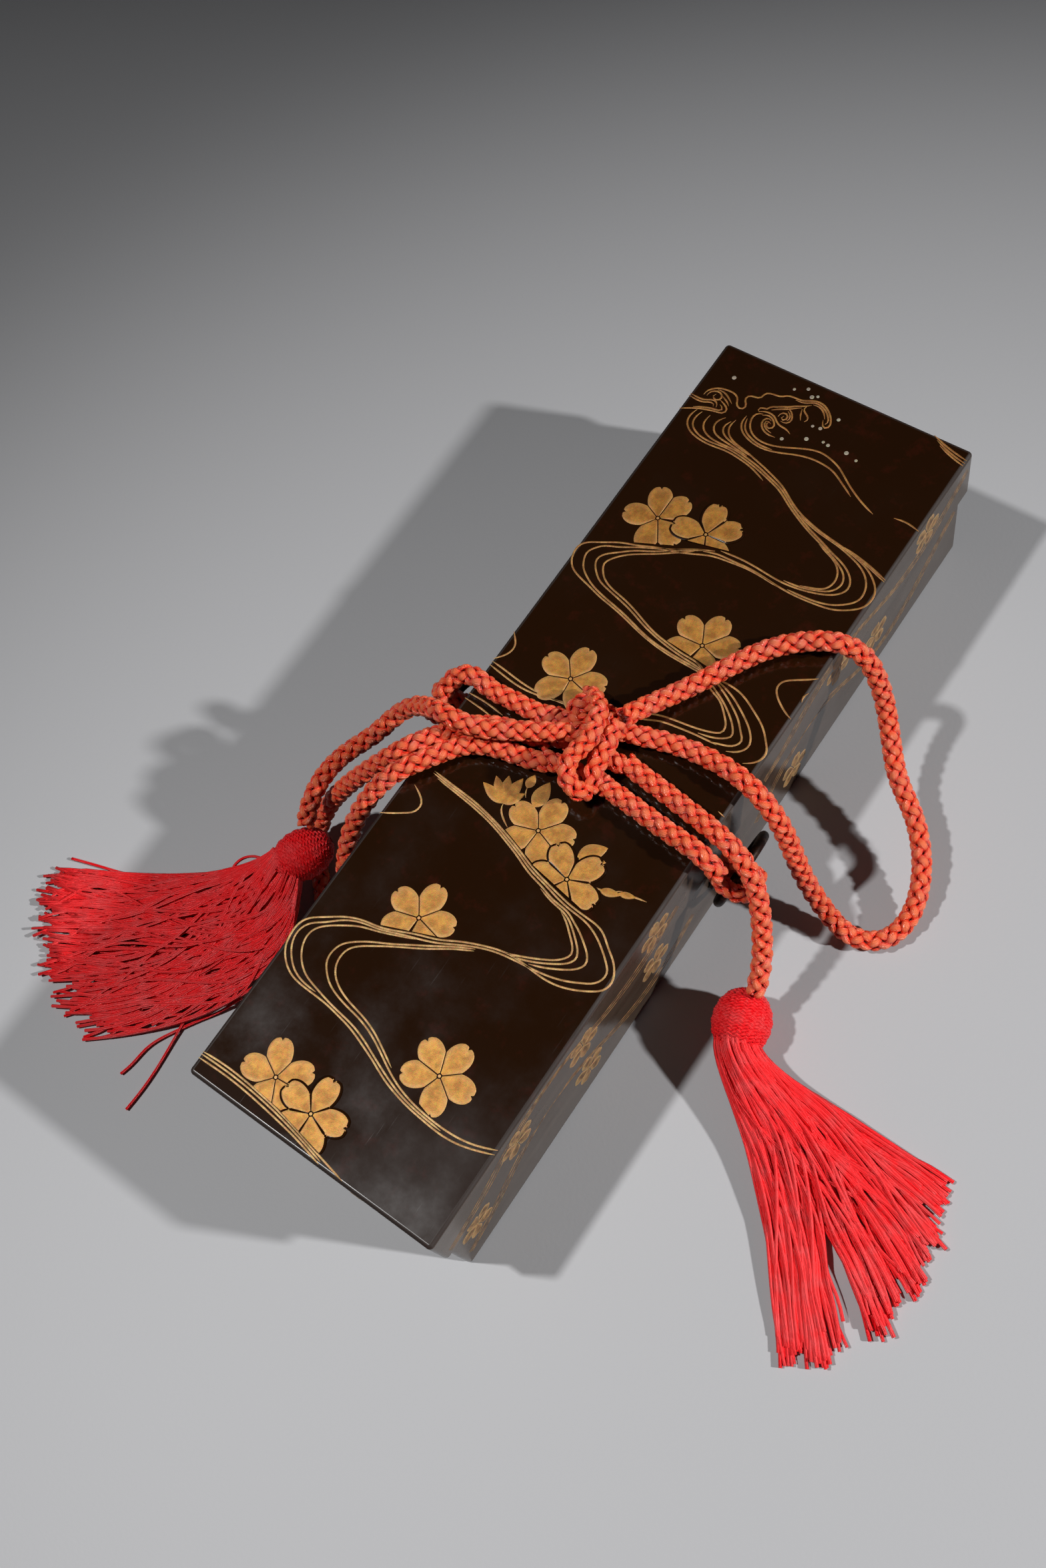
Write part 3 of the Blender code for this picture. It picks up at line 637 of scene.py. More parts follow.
patinated_copper, where = new_material("patinated_copper")
mottle = noise(patinated_copper, where, 420.0, 5.0)
worn = stretched(patinated_copper, mottle, 0.5, 0.72)
colour = mixed(patinated_copper, worn, "#2b2320", "#5b4636")
dull = stretched(patinated_copper, mottle, 0.3, 0.8, 0.5, 0.3)
grain = noise(patinated_copper, where, 2600.0, 3.0)
surface(patinated_copper, colour, grain, strength=0.2, depth=0.0002, Metallic=1.0, Roughness=dull)


def grid_faces(rows, columns, closed=True, first=0):
    """The quads of a grid of points, row by row, its columns closing on themselves."""
    faces = []
    for row in range(rows - 1):
        for column in range(columns if closed else columns - 1):
            after = (column + 1) % columns
            a = first + row * columns
            faces.append((a + column, a + after, a + columns + after, a + columns + column))
    return faces


# The plate's section, from rim to middle: share of the radius, height, and how deeply it is petalled
PLATE_PROFILE = (
    (1.0, 0.0, 1), (1.0, 0.7, 1), (0.985, 0.95, 1), (0.95, 1.08, 1), (0.9, 1.1, 1), (0.82, 1.0, 0.9),
    (0.72, 0.92, 0.6), (0.64, 0.9, 0.2), (0.6, 1.0, 0), (0.56, 1.12, 0), (0.52, 1.18, 0),
    (0.42, 1.5, 0), (0.3, 1.72, 0), (0.15, 1.8, 0), (0.01, 1.82, 0),
)

for side_name, side in (("left", -1), ("right", 1)):
    columns = PETAL_STEPS * PLATE_PETALS
    angle = np.linspace(0, 2 * math.pi, columns, endpoint=False)
    lobes = np.abs(np.cos(PLATE_PETALS * angle / 2))
    points = []
    for share, height, lobed in PLATE_PROFILE:
        radius = PLATE_RADIUS * share * (0.93 + 0.07 * (lobes * lobed + 1 - lobed))
        groove = 0.28 * lobed * (1 - lobes) ** 3 if height > 0.8 else 0 * lobes
        x = side * (BODY_FACE + height - groove)
        points.append(np.column_stack([x, radius * np.cos(angle), EYE_HEIGHT + radius * np.sin(angle)]))
    faces = grid_faces(len(points), columns)
    faces.append(tuple(range(columns)))
    count = len(points) * columns
    bend = np.linspace(-0.5 * math.pi, 0.5 * math.pi, STAPLE_POINTS)
    reach = EYE_X + STAPLE_RADIUS * np.cos(bend)
    arch = np.column_stack([reach, 0 * bend, EYE_HEIGHT + STAPLE_RADIUS * np.sin(bend)])
    foot = np.array((BODY_FACE + 0.6, 0.0, EYE_HEIGHT))
    arch = np.concatenate([[foot - (0, 0, STAPLE_RADIUS)], arch, [foot + (0, 0, STAPLE_RADIUS)]])
    arch[:, 0] *= side
    one, other = directions(arch)[1:]
    wire = round_rings(arch, one, other, STAPLE_WIRE, STAPLE_SIDES)
    faces += tube_faces(count, len(arch), STAPLE_SIDES)
    points = np.concatenate([*points, wire.reshape(-1, 3)])
    plate = add_piece("petalled_plate_" + side_name, points, faces, patinated_copper)
    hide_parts("ring_plate_" + side_name)

    turns = np.linspace(0, 2 * math.pi, RING_STEPS, endpoint=False)
    middle = np.array([ring_point(side, turn) for turn in turns])
    ahead = unit(np.roll(middle, -1, axis=0) - np.roll(middle, 1, axis=0))
    out = unit(middle - middle.mean(axis=0))
    flat = np.cross(ahead, out)
    wire = round_rings(middle, out, flat, RING_WIRE, RING_SIDES)
    faces = grid_faces(RING_STEPS, RING_SIDES)
    last = (RING_STEPS - 1) * RING_SIDES
    for column in range(RING_SIDES):
        after = (column + 1) % RING_SIDES
        faces.append((last + column, last + after, after, column))
    ring = add_piece("wire_ring_" + side_name, wire.reshape(-1, 3), faces, patinated_copper)
    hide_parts("ring_" + side_name)


# The box is thin cypress board, covered in many coats of brown-black lacquer polished to a deep gloss.
# The lid is a shallow tray turned over, and stands on the shoulder round the lower box's lip.
LID_HALF = (40.0, 128.5)
BODY_HALF = (38.4, 126.9)
LID_TOP = 48.5
CORNER_RADIUS = 1.3
INNER_CORNER = 1.2
WALL_FACE = 1.25
EDGE_BAND = 0.9
SIDE_BAND = 0.1
CORNER_POINTS = 7
LID_PROFILE = [
    (3.7, 46.0), (3.3, 45.93), (2.9, 45.7), (2.6, 45.3), (2.5, 44.8), (2.5, 30.2), (2.4, 30.05),
    (2.2, 30.0), (0.4, 30.0), (0.15, 30.05), (0.0, 30.3), (0.0, 47.3), (0.05, 47.64), (0.16, 47.9),
    (0.35, 48.15), (0.6, 48.34), (0.86, 48.45), (1.2, 48.5),
]
BODY_PROFILE = [
    (1.2, 0.0), (0.86, 0.05), (0.6, 0.16), (0.35, 0.35), (0.16, 0.6), (0.05, 0.86), (0.0, 1.2),
    (0.0, 29.3), (0.1, 29.6), (0.3, 29.7), (1.3, 29.7), (1.3, 34.8), (1.42, 35.08), (1.7, 35.2),
    (2.6, 35.2), (2.88, 35.08), (3.0, 34.8), (3.0, 4.2), (3.1, 3.6), (3.5, 3.15), (4.2, 3.0),
]


def tray(name, half, profile, material):
    """A tray with rounded corners. profile gives how far in from the outer walls each ring of points
    stands, and its height."""
    points = []
    for inset, height in profile:
        corner = max(0.15, CORNER_RADIUS - inset) if inset < WALL_FACE else INNER_CORNER
        wide, long = half[0] - inset - corner, half[1] - inset - corner
        for x, y, start in ((wide, long, 0), (-wide, long, 90), (-wide, -long, 180), (wide, -long, 270)):
            for step in range(CORNER_POINTS):
                angle = math.radians(start + 90 * step / (CORNER_POINTS - 1))
                points.append((x + corner * math.cos(angle), y + corner * math.sin(angle), height))
    rows = len(profile)
    around = 4 * CORNER_POINTS
    faces = grid_faces(rows, around)
    faces.append(tuple(range(around - 1, -1, -1)))
    faces.append(tuple(range((rows - 1) * around, rows * around)))
    made = add_piece(name, points, faces, material)
    shape = bmesh.new()
    shape.from_mesh(made.data)
    bmesh.ops.recalc_face_normals(shape, faces=shape.faces)
    shape.to_mesh(made.data)
    shape.free()
    made.data.shade_smooth()
    set_mark(made, "edge", np.repeat([0 < inset < EDGE_BAND for inset, height in profile], around))
    set_mark(made, "side", np.repeat([inset < SIDE_BAND for inset, height in profile], around))
    even = made.modifiers.new("flat_faces_stay_flat", "WEIGHTED_NORMAL")
    even.weight = 80
    return made


# Urushi lacquer: a warm near-black with a clear hard gloss. It is a little wavy from polishing by hand,
# clouded and scratched where it has been rubbed, and reddish where it has worn thin. The edges are
# duller, and so are the sides, which are painted a streaky brown-grey haze: a painted reflection of the
# pale table.
lacquer, where = new_material("brown_black_lacquer")
worn_thin = stretched(lacquer, noise(lacquer, where, 160.0, 5.0, 0.65), 0.56, 0.74)
deep = mixed(lacquer, worn_thin, "#1f0e03", "#2d1006")
scratch_place = add_node(lacquer, "Mapping", {}, Vector=where, Rotation=(0.0, 0.0, 0.7),
                         Scale=(1400.0, 60.0, 60.0))
scratched = stretched(lacquer, noise(lacquer, scratch_place.outputs[0], 1.0, 2.0), 0.69, 0.75)
clouded = stretched(lacquer, noise(lacquer, where, 45.0, 6.0, 0.6), 0.4, 0.75, 0.10, 0.24)
on_side = mark(lacquer, "side")
rough = calculated(lacquer, "MULTIPLY_ADD", scratched, 0.06, clouded)
rough = calculated(lacquer, "MULTIPLY_ADD", mark(lacquer, "edge"), 0.55, rough)
rough = calculated(lacquer, "MULTIPLY_ADD", on_side, 0.08, rough)
# the sides get a streaky brown-grey colour, a painted reflection of the pale table
reflection_streak_place = add_node(lacquer, "Mapping", {}, Vector=where, Scale=(40.0, 22.0, 180.0))
reflection_streaks = noise(lacquer, reflection_streak_place.outputs[0], 1.0, 5.0, 0.6)
painted_side_reflection = calculated(lacquer, "MULTIPLY", stretched(lacquer, reflection_streaks, 0.35, 0.7, 0.45, 0.95), on_side)
colour = mixed(lacquer, painted_side_reflection, deep, "#483c32")
ripple = noise(lacquer, where, 28.0, 2.0)
surface(lacquer, colour, ripple, strength=0.12, depth=0.002, IOR=1.53, Roughness=rough)

body = tray("lower_box", BODY_HALF, BODY_PROFILE, lacquer)
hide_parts("box_body")
lid = tray("lid_lacquered", LID_HALF, LID_PROFILE, lacquer)
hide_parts("lid")


# The decoration is gold powder sprinkled on wet lacquer: a stream that winds down the lid from a
# breaking wave, in fine raised lines, and cherry blossom beside it in thicker gold. Every line was drawn
# by hand with a fine brush, so the lines of the stream run together and part again.
LINE_WIDTH = 0.58
LINE_RISE = 0.07
LINE_SECTION = ((-1, -0.02), (-0.55, LINE_RISE), (0.55, LINE_RISE), (1, -0.02))
LINE_STEP = 1.0

WAVE_LINES = [
    # the tops of the two crests, in one line that curls over at its end
    [(-36.2, 109.8), (-36, 111.2), (-35, 112.6), (-33.4, 113.7), (-31.4, 114.2), (-29.4, 114.3),
     (-27.7, 113.9), (-26.6, 112.8), (-26, 111.5), (-25, 110.7), (-23.9, 110.7), (-23.3, 111.5),
     (-23.7, 112.7), (-24.5, 113.7), (-24.7, 114.8), (-23.7, 115.7), (-22.2, 116), (-21.1, 116.5),
     (-20.8, 117.6), (-20.1, 118.7), (-18.8, 119.1), (-17.2, 119.3), (-16, 119.6), (-14.9, 120.4),
     (-13.5, 120.9), (-11.8, 121), (-10.1, 121.2), (-8.7, 121.8), (-7.3, 122.5), (-5.5, 122.9),
     (-3.7, 122.6), (-1.9, 121.6), (-0.4, 120.3), (0.7, 118.7), (1.1, 117.2), (0.5, 116.2),
     (-0.5, 116.4), (-1.1, 117.3), (-1.5, 118.2)],
    [(-11.8, 120.4), (-9.8, 120.6), (-8.2, 121.2), (-6.8, 122), (-5.2, 122.2), (-3.4, 121.7),
     (-1.8, 120.7), (-0.6, 119.4), (0, 118.1), (-0.3, 117.1)],
    [(-6.6, 121.3), (-4.9, 121.5), (-3.3, 120.9), (-2.1, 119.8), (-1.2, 118.6)],
    # the torn edge below it, with its fingers of spray
    [(-6.9, 121), (-7.9, 120.2), (-9.4, 119.3), (-11.1, 118.4), (-12.5, 117.4), (-13.9, 116.8),
     (-15.4, 115.9), (-16.9, 115), (-17.5, 114), (-19, 113.7), (-19.5, 112.7), (-18.7, 112)],
    [(-8.9, 118.9), (-10.4, 118), (-11.8, 117), (-13.3, 116.2), (-14.9, 115.2), (-16.1, 114.3)],
    [(-7.9, 120), (-8.1, 118.8), (-7.1, 117.9), (-6, 117.2), (-5.4, 116.2), (-5.9, 115.2)],
    [(-8.6, 118.6), (-8.2, 117.3), (-7.7, 116.2), (-7, 115.1)],
    [(-12.4, 117), (-11, 116.5), (-10, 115.5), (-9.4, 114.3), (-9.6, 113), (-10.6, 112.3),
     (-11.8, 112.3)],
    [(-11.7, 116.1), (-10.7, 115.4), (-10.1, 114.3), (-10.3, 113.2)],
    [(-13.3, 113.3), (-13, 114.7), (-11.8, 115.2), (-10.9, 114.5), (-10.9, 113.4), (-11.7, 112.9),
     (-12.3, 113.5), (-11.9, 114.2)],
    # the two eyes of the hollow under the crest
    [(-19, 112.2), (-17.4, 113), (-15.8, 113.2), (-14.2, 112.8), (-12.9, 111.8), (-11.4, 111),
     (-9.9, 110.8), (-8.5, 110.5), (-7.2, 109.8)],
    [(-17.4, 111.6), (-16, 112.3), (-14.4, 112), (-13.2, 111), (-12.6, 109.8), (-13.2, 108.8),
     (-14.3, 108.9), (-14.9, 109.8), (-14.4, 110.6), (-13.7, 110.2)],
    [(-10.3, 106.9), (-12.2, 106.8), (-14, 107.2), (-15.5, 108.2), (-16.3, 109.6), (-16.1, 110.9),
     (-15.1, 111.5), (-14.1, 111.1)],
    [(-12, 107.6), (-13.4, 107.9), (-14.7, 108.6), (-15.5, 109.7), (-15.3, 110.6), (-14.6, 110.7)],
    # the smaller crest on the left, and the water that runs into it
    [(-35.2, 109.9), (-35, 111.3), (-34, 112.3), (-32.6, 112.6), (-31.4, 112), (-31, 110.9),
     (-31.7, 110), (-32.8, 110), (-33.5, 110.8), (-33, 111.5)],
    [(-33.4, 113.1), (-31.6, 113.2), (-29.9, 112.6), (-28.5, 111.7), (-27.2, 110.8)],
    [(-31.2, 111.9), (-29.9, 111.3), (-28.6, 110.6), (-27.6, 109.7)],
    [(-39.8, 108.4), (-37, 108.2), (-34.6, 108.6), (-33, 109.4), (-31.8, 109.4), (-30.9, 108.6),
     (-30.6, 107.6)],
    [(-39.8, 107.6), (-37, 107.4), (-34.4, 107.8), (-32.6, 108.5), (-31.7, 108.2), (-31.5, 107.5)],
    [(-30.9, 110.4), (-29.6, 109.9), (-28.2, 109.2), (-27.4, 108.1), (-27.9, 107), (-29.6, 106.5),
     (-32.2, 105.9), (-34.8, 105.1), (-37.4, 103.9), (-39.8, 102.5)],
    [(-30.1, 109), (-29.1, 108.5), (-28.8, 107.6), (-30, 107.1), (-32.4, 106.6), (-34.6, 105.8),
     (-36.6, 104.8)],
    [(28, 128.2), (33, 126.5), (39.8, 125)],
    [(29.5, 127.1), (34, 125.4), (39.8, 124)],
    [(31, 125.9), (35, 124.4), (39.8, 123.1)],
    [(-21.3, 109.3), (-21.3, 106.9), (-19.9, 104.6), (-17.1, 103), (-11.6, 102.1), (-6.9, 103),
     (-2.3, 104.6), (2.3, 105.6), (6, 105.6), (9.7, 104.9), (13.4, 103), (16.2, 101.4), (18.3, 100.1)],
    [(-20.6, 108.6), (-20.2, 106.9), (-18.9, 105), (-16.4, 103.6), (-12.6, 102.8), (-8.9, 103)],
    [(-17.4, 112), (-18.8, 111.5), (-19.5, 110.3), (-19.4, 108.7), (-18.6, 106.9), (-17, 105.2),
     (-13.9, 104), (-9.7, 104.2), (-4.6, 106), (0, 107.9), (3.7, 108.6), (6.9, 108.1), (10.6, 106.7),
     (14.4, 104.2), (18.1, 101.9), (21.8, 100), (26.4, 98.2)],
    [(31.9, 99.8), (35, 100.2), (39.8, 99.4)],
]
DROPS = (
    (-14.1, 123.4), (-10.6, 125.3), (-8.3, 123.4), (-6.9, 124.3), (2.3, 120.3), (-31.5, 118.8),
    (-3, 115.1), (-0.7, 115.4), (-2.3, 110.6), (2.4, 111.9), (4.1, 111.6), (9.9, 111.8), (13.5, 110.9),
    (-8.4, 107.4),
)

STREAM = [
    # from the wave round the first bend, on the right
    [(-35, 104.6), (-35.7, 102.3), (-35.4, 100), (-33.6, 97.9), (-30.1, 96.5), (-25.5, 96.1),
     (-19.9, 96.5), (-15.3, 96.1), (-10.6, 95.1), (-5.6, 93.1)],
    [(-33.3, 104.6), (-34, 102.3), (-33.6, 100), (-31, 97.9), (-26.4, 97), (-20.8, 97.4), (-15.3, 96.9),
     (-9.3, 95.6), (-4.6, 94.2), (0, 92.5), (4.6, 89.8), (9.3, 87.3), (13.9, 85.2), (18.5, 83.5),
     (22.7, 81.9), (26.4, 80.1), (29.2, 78), (30.3, 75.4), (29.2, 72.5), (25.5, 70.4), (21.8, 69.3),
     (16.2, 68.7)],
    [(-30.6, 104.6), (-30.9, 102.3), (-30.1, 100.2), (-27.8, 98.6), (-23.1, 97.9), (-18.1, 98),
     (-13.9, 97.4), (-9.3, 96.4), (-4.6, 94.9), (0, 93.3), (4.6, 90.6), (9.3, 88), (13.9, 85.9),
     (18.5, 84.2), (23.1, 82.4), (27.8, 80.6), (30.6, 78.7), (32.2, 76.4), (32.4, 74.5), (31, 72.2),
     (27.3, 70.1), (21.8, 68.6), (16.2, 68), (9.3, 68.4), (3, 68.7), (-3.7, 68.2)],
    [(-26.2, 106), (-27.5, 104.2), (-27.7, 102.3), (-26.6, 100.5), (-23.6, 99.3), (-20, 98.8),
     (-14, 97.9)],
    [(-24.1, 105.6), (-25, 103.2), (-24.3, 101.6), (-22.2, 100.3), (-18.6, 99.4), (-13.6, 98.3)],
    [(-23.2, 106.7), (-23.6, 104.2), (-22.9, 102.3), (-20.8, 100.6), (-16.2, 99.3), (-11.6, 98.1),
     (-6.9, 96.7), (-3.7, 95.6), (0, 94.1), (4.6, 91.3), (9.3, 88.9), (13.9, 87.4), (18.1, 86.4),
     (23.1, 85.6), (28.2, 84.5), (33.8, 82.6), (37.2, 80.2), (39.3, 77.3), (39.6, 74.5), (38.9, 72.2),
     (36.6, 69.9), (32.4, 67.6), (27.8, 66.7), (20.8, 66.2), (13.9, 66.6), (6.9, 67.3), (0, 67.1),
     (-4.2, 66.8), (-7.9, 65.7)],
    [(9.3, 88.4), (13.9, 86.8), (18.1, 85.9), (23.1, 85.1), (28, 83.8), (33, 81.6), (36.1, 78.2),
     (36.9, 75.5), (36.6, 73.1), (34.7, 70.8), (31, 68.5), (25.5, 67.2), (18.5, 66.8)],
    [(18.5, 83.1), (21.8, 81.8), (25, 80.4), (27.3, 78.2), (28.2, 75.9), (28.2, 74.3), (27.3, 72.2),
     (24.5, 70.6), (20.8, 69.5)],
    [(25, 85.5), (31, 84.5), (36, 83.2), (39.8, 82)],
    [(28, 84.9), (34, 83.3), (39.8, 81.4)],
    # back under the blossom and round the second bend, on the left, to the third
    [(16, 66.2), (10, 66.8), (5, 66.9), (0, 66.4), (-5, 65.6), (-10, 63.6), (-15, 61.8), (-20, 60.4),
     (-25, 58.4), (-29.2, 57), (-35, 54), (-38.2, 52.1), (-39.4, 50.5), (-39.6, 48.4), (-38.9, 45.9),
     (-37.1, 43.6), (-34.8, 42.4), (-30, 41), (-25, 39.6), (-20, 38.6), (-15, 37.4), (-10, 36),
     (-5, 34.9), (0, 34.2), (8, 33.9), (14, 34), (19, 34.6), (25, 33.9), (30, 31.5), (35, 28.3),
     (37.6, 25.5), (39.4, 22.5), (38.9, 20), (37.1, 18.1), (35.7, 17.2)],
    [(-7, 66.6), (-12, 63.9), (-17, 61.4), (-21, 59.6), (-25, 57.7), (-30, 55.1), (-33.4, 53.5),
     (-35, 51.9), (-36.2, 49.6), (-35.7, 47.3), (-34.3, 45), (-32, 43.2), (-30, 42.1), (-25, 40.4),
     (-20, 39.3), (-15, 38.1), (-10, 36.6), (-5, 35.4), (0, 34.8), (8.5, 34.5), (14, 34.4),
     (18.1, 33.8), (22.3, 32.5), (27.4, 29.7), (31.1, 27.1), (33.8, 24.1), (34.4, 22.3), (33.8, 20.4),
     (32, 18.8), (30.1, 17.9)],
    [(-5, 67.4), (-10, 65.2), (-15, 62.3), (-20, 59), (-25, 56.4), (-28.7, 53.7), (-31.5, 51.4),
     (-32.5, 49.4), (-31.8, 47.3), (-30.1, 45.4), (-28.3, 44), (-25, 42.8), (-20, 41.6), (-15, 40.2),
     (-10, 38.4), (-5, 37), (0, 36), (6, 35.3), (12, 34.8), (18.1, 33.1), (20.9, 31.8), (25, 29.4),
     (28.3, 26.9), (30.6, 24.4), (32, 22.3), (31.1, 20.4), (28.3, 19), (25, 18.1)],
    [(-10, 64.6), (-15, 61.2), (-19.5, 58.3), (-25, 55), (-27.8, 52.6), (-29.4, 50.5), (-29.9, 49.1),
     (-29.2, 47.3), (-27.8, 45.6), (-25, 43.9), (-20, 42.6), (-15, 41.2), (-10, 39.3), (-5, 37.7),
     (0, 36.8), (5, 36.2), (10, 35.8), (17.2, 31.9), (20, 30.6), (23.2, 28.7), (26.4, 26.2),
     (28.3, 24.1), (29, 22.3), (27.8, 20.9), (25, 19.5), (20.9, 18.6)],
    [(9, 36), (13.4, 34), (16.7, 31.1), (19.5, 30.1), (22.3, 28.3), (24.6, 26), (26.2, 23.7),
     (26.2, 22), (24.6, 20.9), (21.8, 20), (15, 18.8), (10, 17.9), (7, 16.9), (3, 15.2), (-3, 12.6),
     (-9, 10.2), (-15, 7.9), (-20, 6.5), (-25, 5.6), (-30, 5.5), (-35, 6.1), (-39.8, 6.8)],
    [(27, 18.2), (20, 17.8), (15, 17.2), (10, 16.2), (7, 14.9), (0, 12.4), (-8, 9.1), (-14, 7.6),
     (-20, 6.9), (-25, 6.6), (-30, 6.9), (-36.4, 7.7), (-39.8, 8)],
    [(-39.8, 18.6), (-38.5, 17.2), (-37.1, 15.3), (-36.9, 13.5), (-37.6, 11.6), (-39, 9.8),
     (-39.9, 8.8)],
    [(39.8, 48), (37.1, 46.1), (33.8, 44), (32, 42.2), (31.8, 40.3), (32.9, 38.5), (35.2, 36.6),
     (37.6, 35.2), (39.8, 34.3)],
    [(39.8, 43.1), (39.2, 41.7), (39.6, 39.9)],
    [(37.6, 2.6), (39.8, 2.1)],
    # the near stream, under the twig and round the bend on the right
    [(-39.8, -3.2), (-34, -3.2), (-27.5, -4)],
    [(-39.8, -5), (-36, -5.2), (-30, -5.9)],
    [(-36.4, -33.2), (-33.4, -34.8), (-31.4, -37), (-31.8, -39.4), (-33.6, -41), (-36.6, -42.9),
     (-39.9, -44.7)],
    [(-34, -27.1), (-25, -28), (-20, -28.5), (-15, -29.4), (-10, -30.6), (-5, -32.1), (0, -33.8),
     (5, -35.6), (10, -36.9), (15, -38), (20, -38.9), (25, -39.3), (30, -40.2), (33.8, -42.9),
     (37.1, -45.4), (38.9, -47.7), (39.7, -50), (39.2, -52.4), (36.6, -54.7), (32.5, -56.8),
     (28.3, -58.1), (22, -58.4), (15, -57.9), (10, -58.6), (5, -60.2), (0, -62.3), (-5, -64.8),
     (-10, -66.5), (-15, -68.5), (-20, -70.3), (-25, -71.3), (-30, -73.2), (-35, -76.4), (-38.5, -79.2),
     (-39.6, -81.5), (-39.7, -84.3), (-39.2, -87), (-37.6, -89.8), (-35, -92.1), (-32, -93.5),
     (-28, -94.1), (-20, -94.5), (-15, -95.2), (-10, -96.2), (-5, -97.8), (0, -99.6), (5, -101.6),
     (10, -103), (15, -103.9), (20, -104.4), (25, -104.7), (30, -104.3), (35, -103), (39.8, -101.2)],
    [(-34, -27.7), (-25, -28.6), (-15, -30), (-10, -31.2), (-5, -32.8), (0, -34.5), (5, -36.4),
     (10, -37.6), (15, -38.9), (20, -39.8), (25, -40.4), (28.3, -41.5), (32.5, -44), (35.7, -46.6),
     (37.3, -48.7), (37.3, -50.5), (36.2, -52.4), (33.4, -54.2), (30, -55.8), (27.4, -56.7),
     (22, -57.8), (15, -58.6), (10, -59.4), (5, -61), (0, -63.3), (-5, -65.8), (-10, -67.6),
     (-15, -69.2), (-20, -70.9), (-25, -72), (-30, -74.3), (-33.8, -77.3), (-37.1, -79.9),
     (-38.2, -81.9), (-38.4, -84.3), (-37.5, -87), (-35.5, -89.6), (-32.9, -91.7), (-29.5, -93),
     (-24, -93.5)],
    [(-32, -28.4), (-25, -29.2), (-15, -30.7), (-10, -31.9), (-5, -33.5), (0, -35.3), (5, -37.3),
     (10, -38.6), (15, -40), (20, -40.8), (22.3, -41.9), (25, -43.3), (28.3, -45.6), (30.6, -47.7),
     (31.4, -49.6), (30.6, -51.4), (28.3, -53.3), (25, -55.1), (22.3, -56.3), (19, -57.4)],
    [(10, -39.2), (15, -40.6), (20, -41.7), (22.7, -43.3), (25.5, -45.6), (27.8, -48), (28.5, -49.8),
     (27.8, -51.4), (25.5, -53.3), (22.7, -54.9), (19, -56.6), (14, -58.2)],
    [(18.1, -41.5), (20.9, -43.1), (23.6, -45.4), (26, -47.7), (26.8, -49.6), (26.2, -51),
     (24.6, -52.6), (22.3, -54), (18.1, -56), (12, -58.4)],
    # round the left bend and off the near right edge
    [(-10, -67.9), (-15, -69.8), (-20, -71.6), (-25, -73.2), (-29.2, -75.5), (-32.9, -78),
     (-34.8, -80.1), (-35.5, -82.4), (-35.2, -84.7), (-34.1, -87), (-32, -89.4), (-29.7, -91),
     (-25, -92.5), (-20, -93.6), (-15, -94.4), (-10, -95.2), (-5, -96.7), (0, -98.7), (5, -100.6),
     (10, -102.2), (16, -103.3), (25, -104)],
    [(5, -61.6), (0, -64), (-5, -66.9), (-10, -69.7), (-15, -72.5), (-20, -75), (-23.6, -77.3),
     (-26.2, -79.9), (-27, -82.4), (-26.7, -85.2), (-25, -87.5), (-22.7, -89.4), (-19, -91),
     (-14, -92.1), (-10, -92.8), (-5, -94.3), (0, -96.6), (5, -99.2), (10, -101.2), (15, -102.4),
     (20, -103), (25, -103.2), (30, -102.9), (35, -101.8), (39.8, -99.9)],
    [(5, -62.2), (0, -64.7), (-5, -67.8), (-10, -70.6), (-15, -73.3), (-19, -75.7), (-22.3, -78),
     (-23.9, -80.1), (-24.3, -82.4), (-23.9, -84.7), (-22.3, -87.1), (-19.4, -89.1), (-15.6, -90.5),
     (-10, -91.7), (-5, -93.2), (0, -95.6), (5, -98.3)],
    [(-39.8, -122.3), (-35, -121.9), (-30, -121.8), (-25, -122), (-20, -122.4), (-15, -122.9),
     (-10, -123.6), (-5, -124.5), (0, -125.5), (5, -126.4), (11.6, -127.6)],
    [(-39.8, -123), (-34, -122.8), (-25, -122.9), (-15, -123.7), (-5, -125.2), (4, -127)],
    [(-39.8, -124.1), (-30, -123.8), (-20, -124.3), (-12, -125.1), (-5, -126), (0, -126.9),
     (4, -127.7)],
    # the stems of the buds and the twig
    [(-12.3, -25), (-12.1, -26), (-10.7, -27.8), (-7.4, -29.9)],
    [(-9.4, -17.6), (-9, -19), (-8, -20.5)],
    [(21, -31.6), (26, -30.6), (31, -28.6), (35.5, -27.7)],
    [(26.4, -30.4), (27.6, -29.2), (28.6, -28.6)],
]

# Each blossom: its middle, which way its petals point, the line of water that hides what lies beyond it,
# and 1 where it lies over another
BLOSSOMS = [
    ((-24.8, 68.5), (331, 62, 117, 195, 275), ((-28, 57.9), (-5, 68.2)), 0),
    ((-10, 70.4), (38, 99, 187, 265, 330), ((-12, 66.6), (0, 69.4)), 1),
    ((7.9, 40.9), (83, 152, 215, 25, 305), ((0, 37.3), (16, 36)), 0),
    ((-17.6, 14.5), (92, 165, 17, 235, 318), None, 0),
    ((0.3, -26.4), (85, 165, 17, 230, 305), ((-10, -29.9), (5, -34.9)), 0),
    ((14.6, -33.6), (57, 138, -12, 197, 280), ((5, -35.1), (25, -38.7)), 1),
    ((-12.7, -62.8), (90, 163, 17, 227, 318), ((-20, -69.7), (-5, -64.1)), 0),
    ((16.7, -93.2), (76, 145, 208, 292, 2), ((5, -98.6), (20, -102.5)), 0),
    ((-19, -116.8), (118, 188, 40, 268, 330), ((-30, -121.3), (-10, -122.9)), 0),
    ((-5.3, -119), (90, 167, 12, 310, 235), ((-15, -122.4), (5, -125.9)), 1),
]
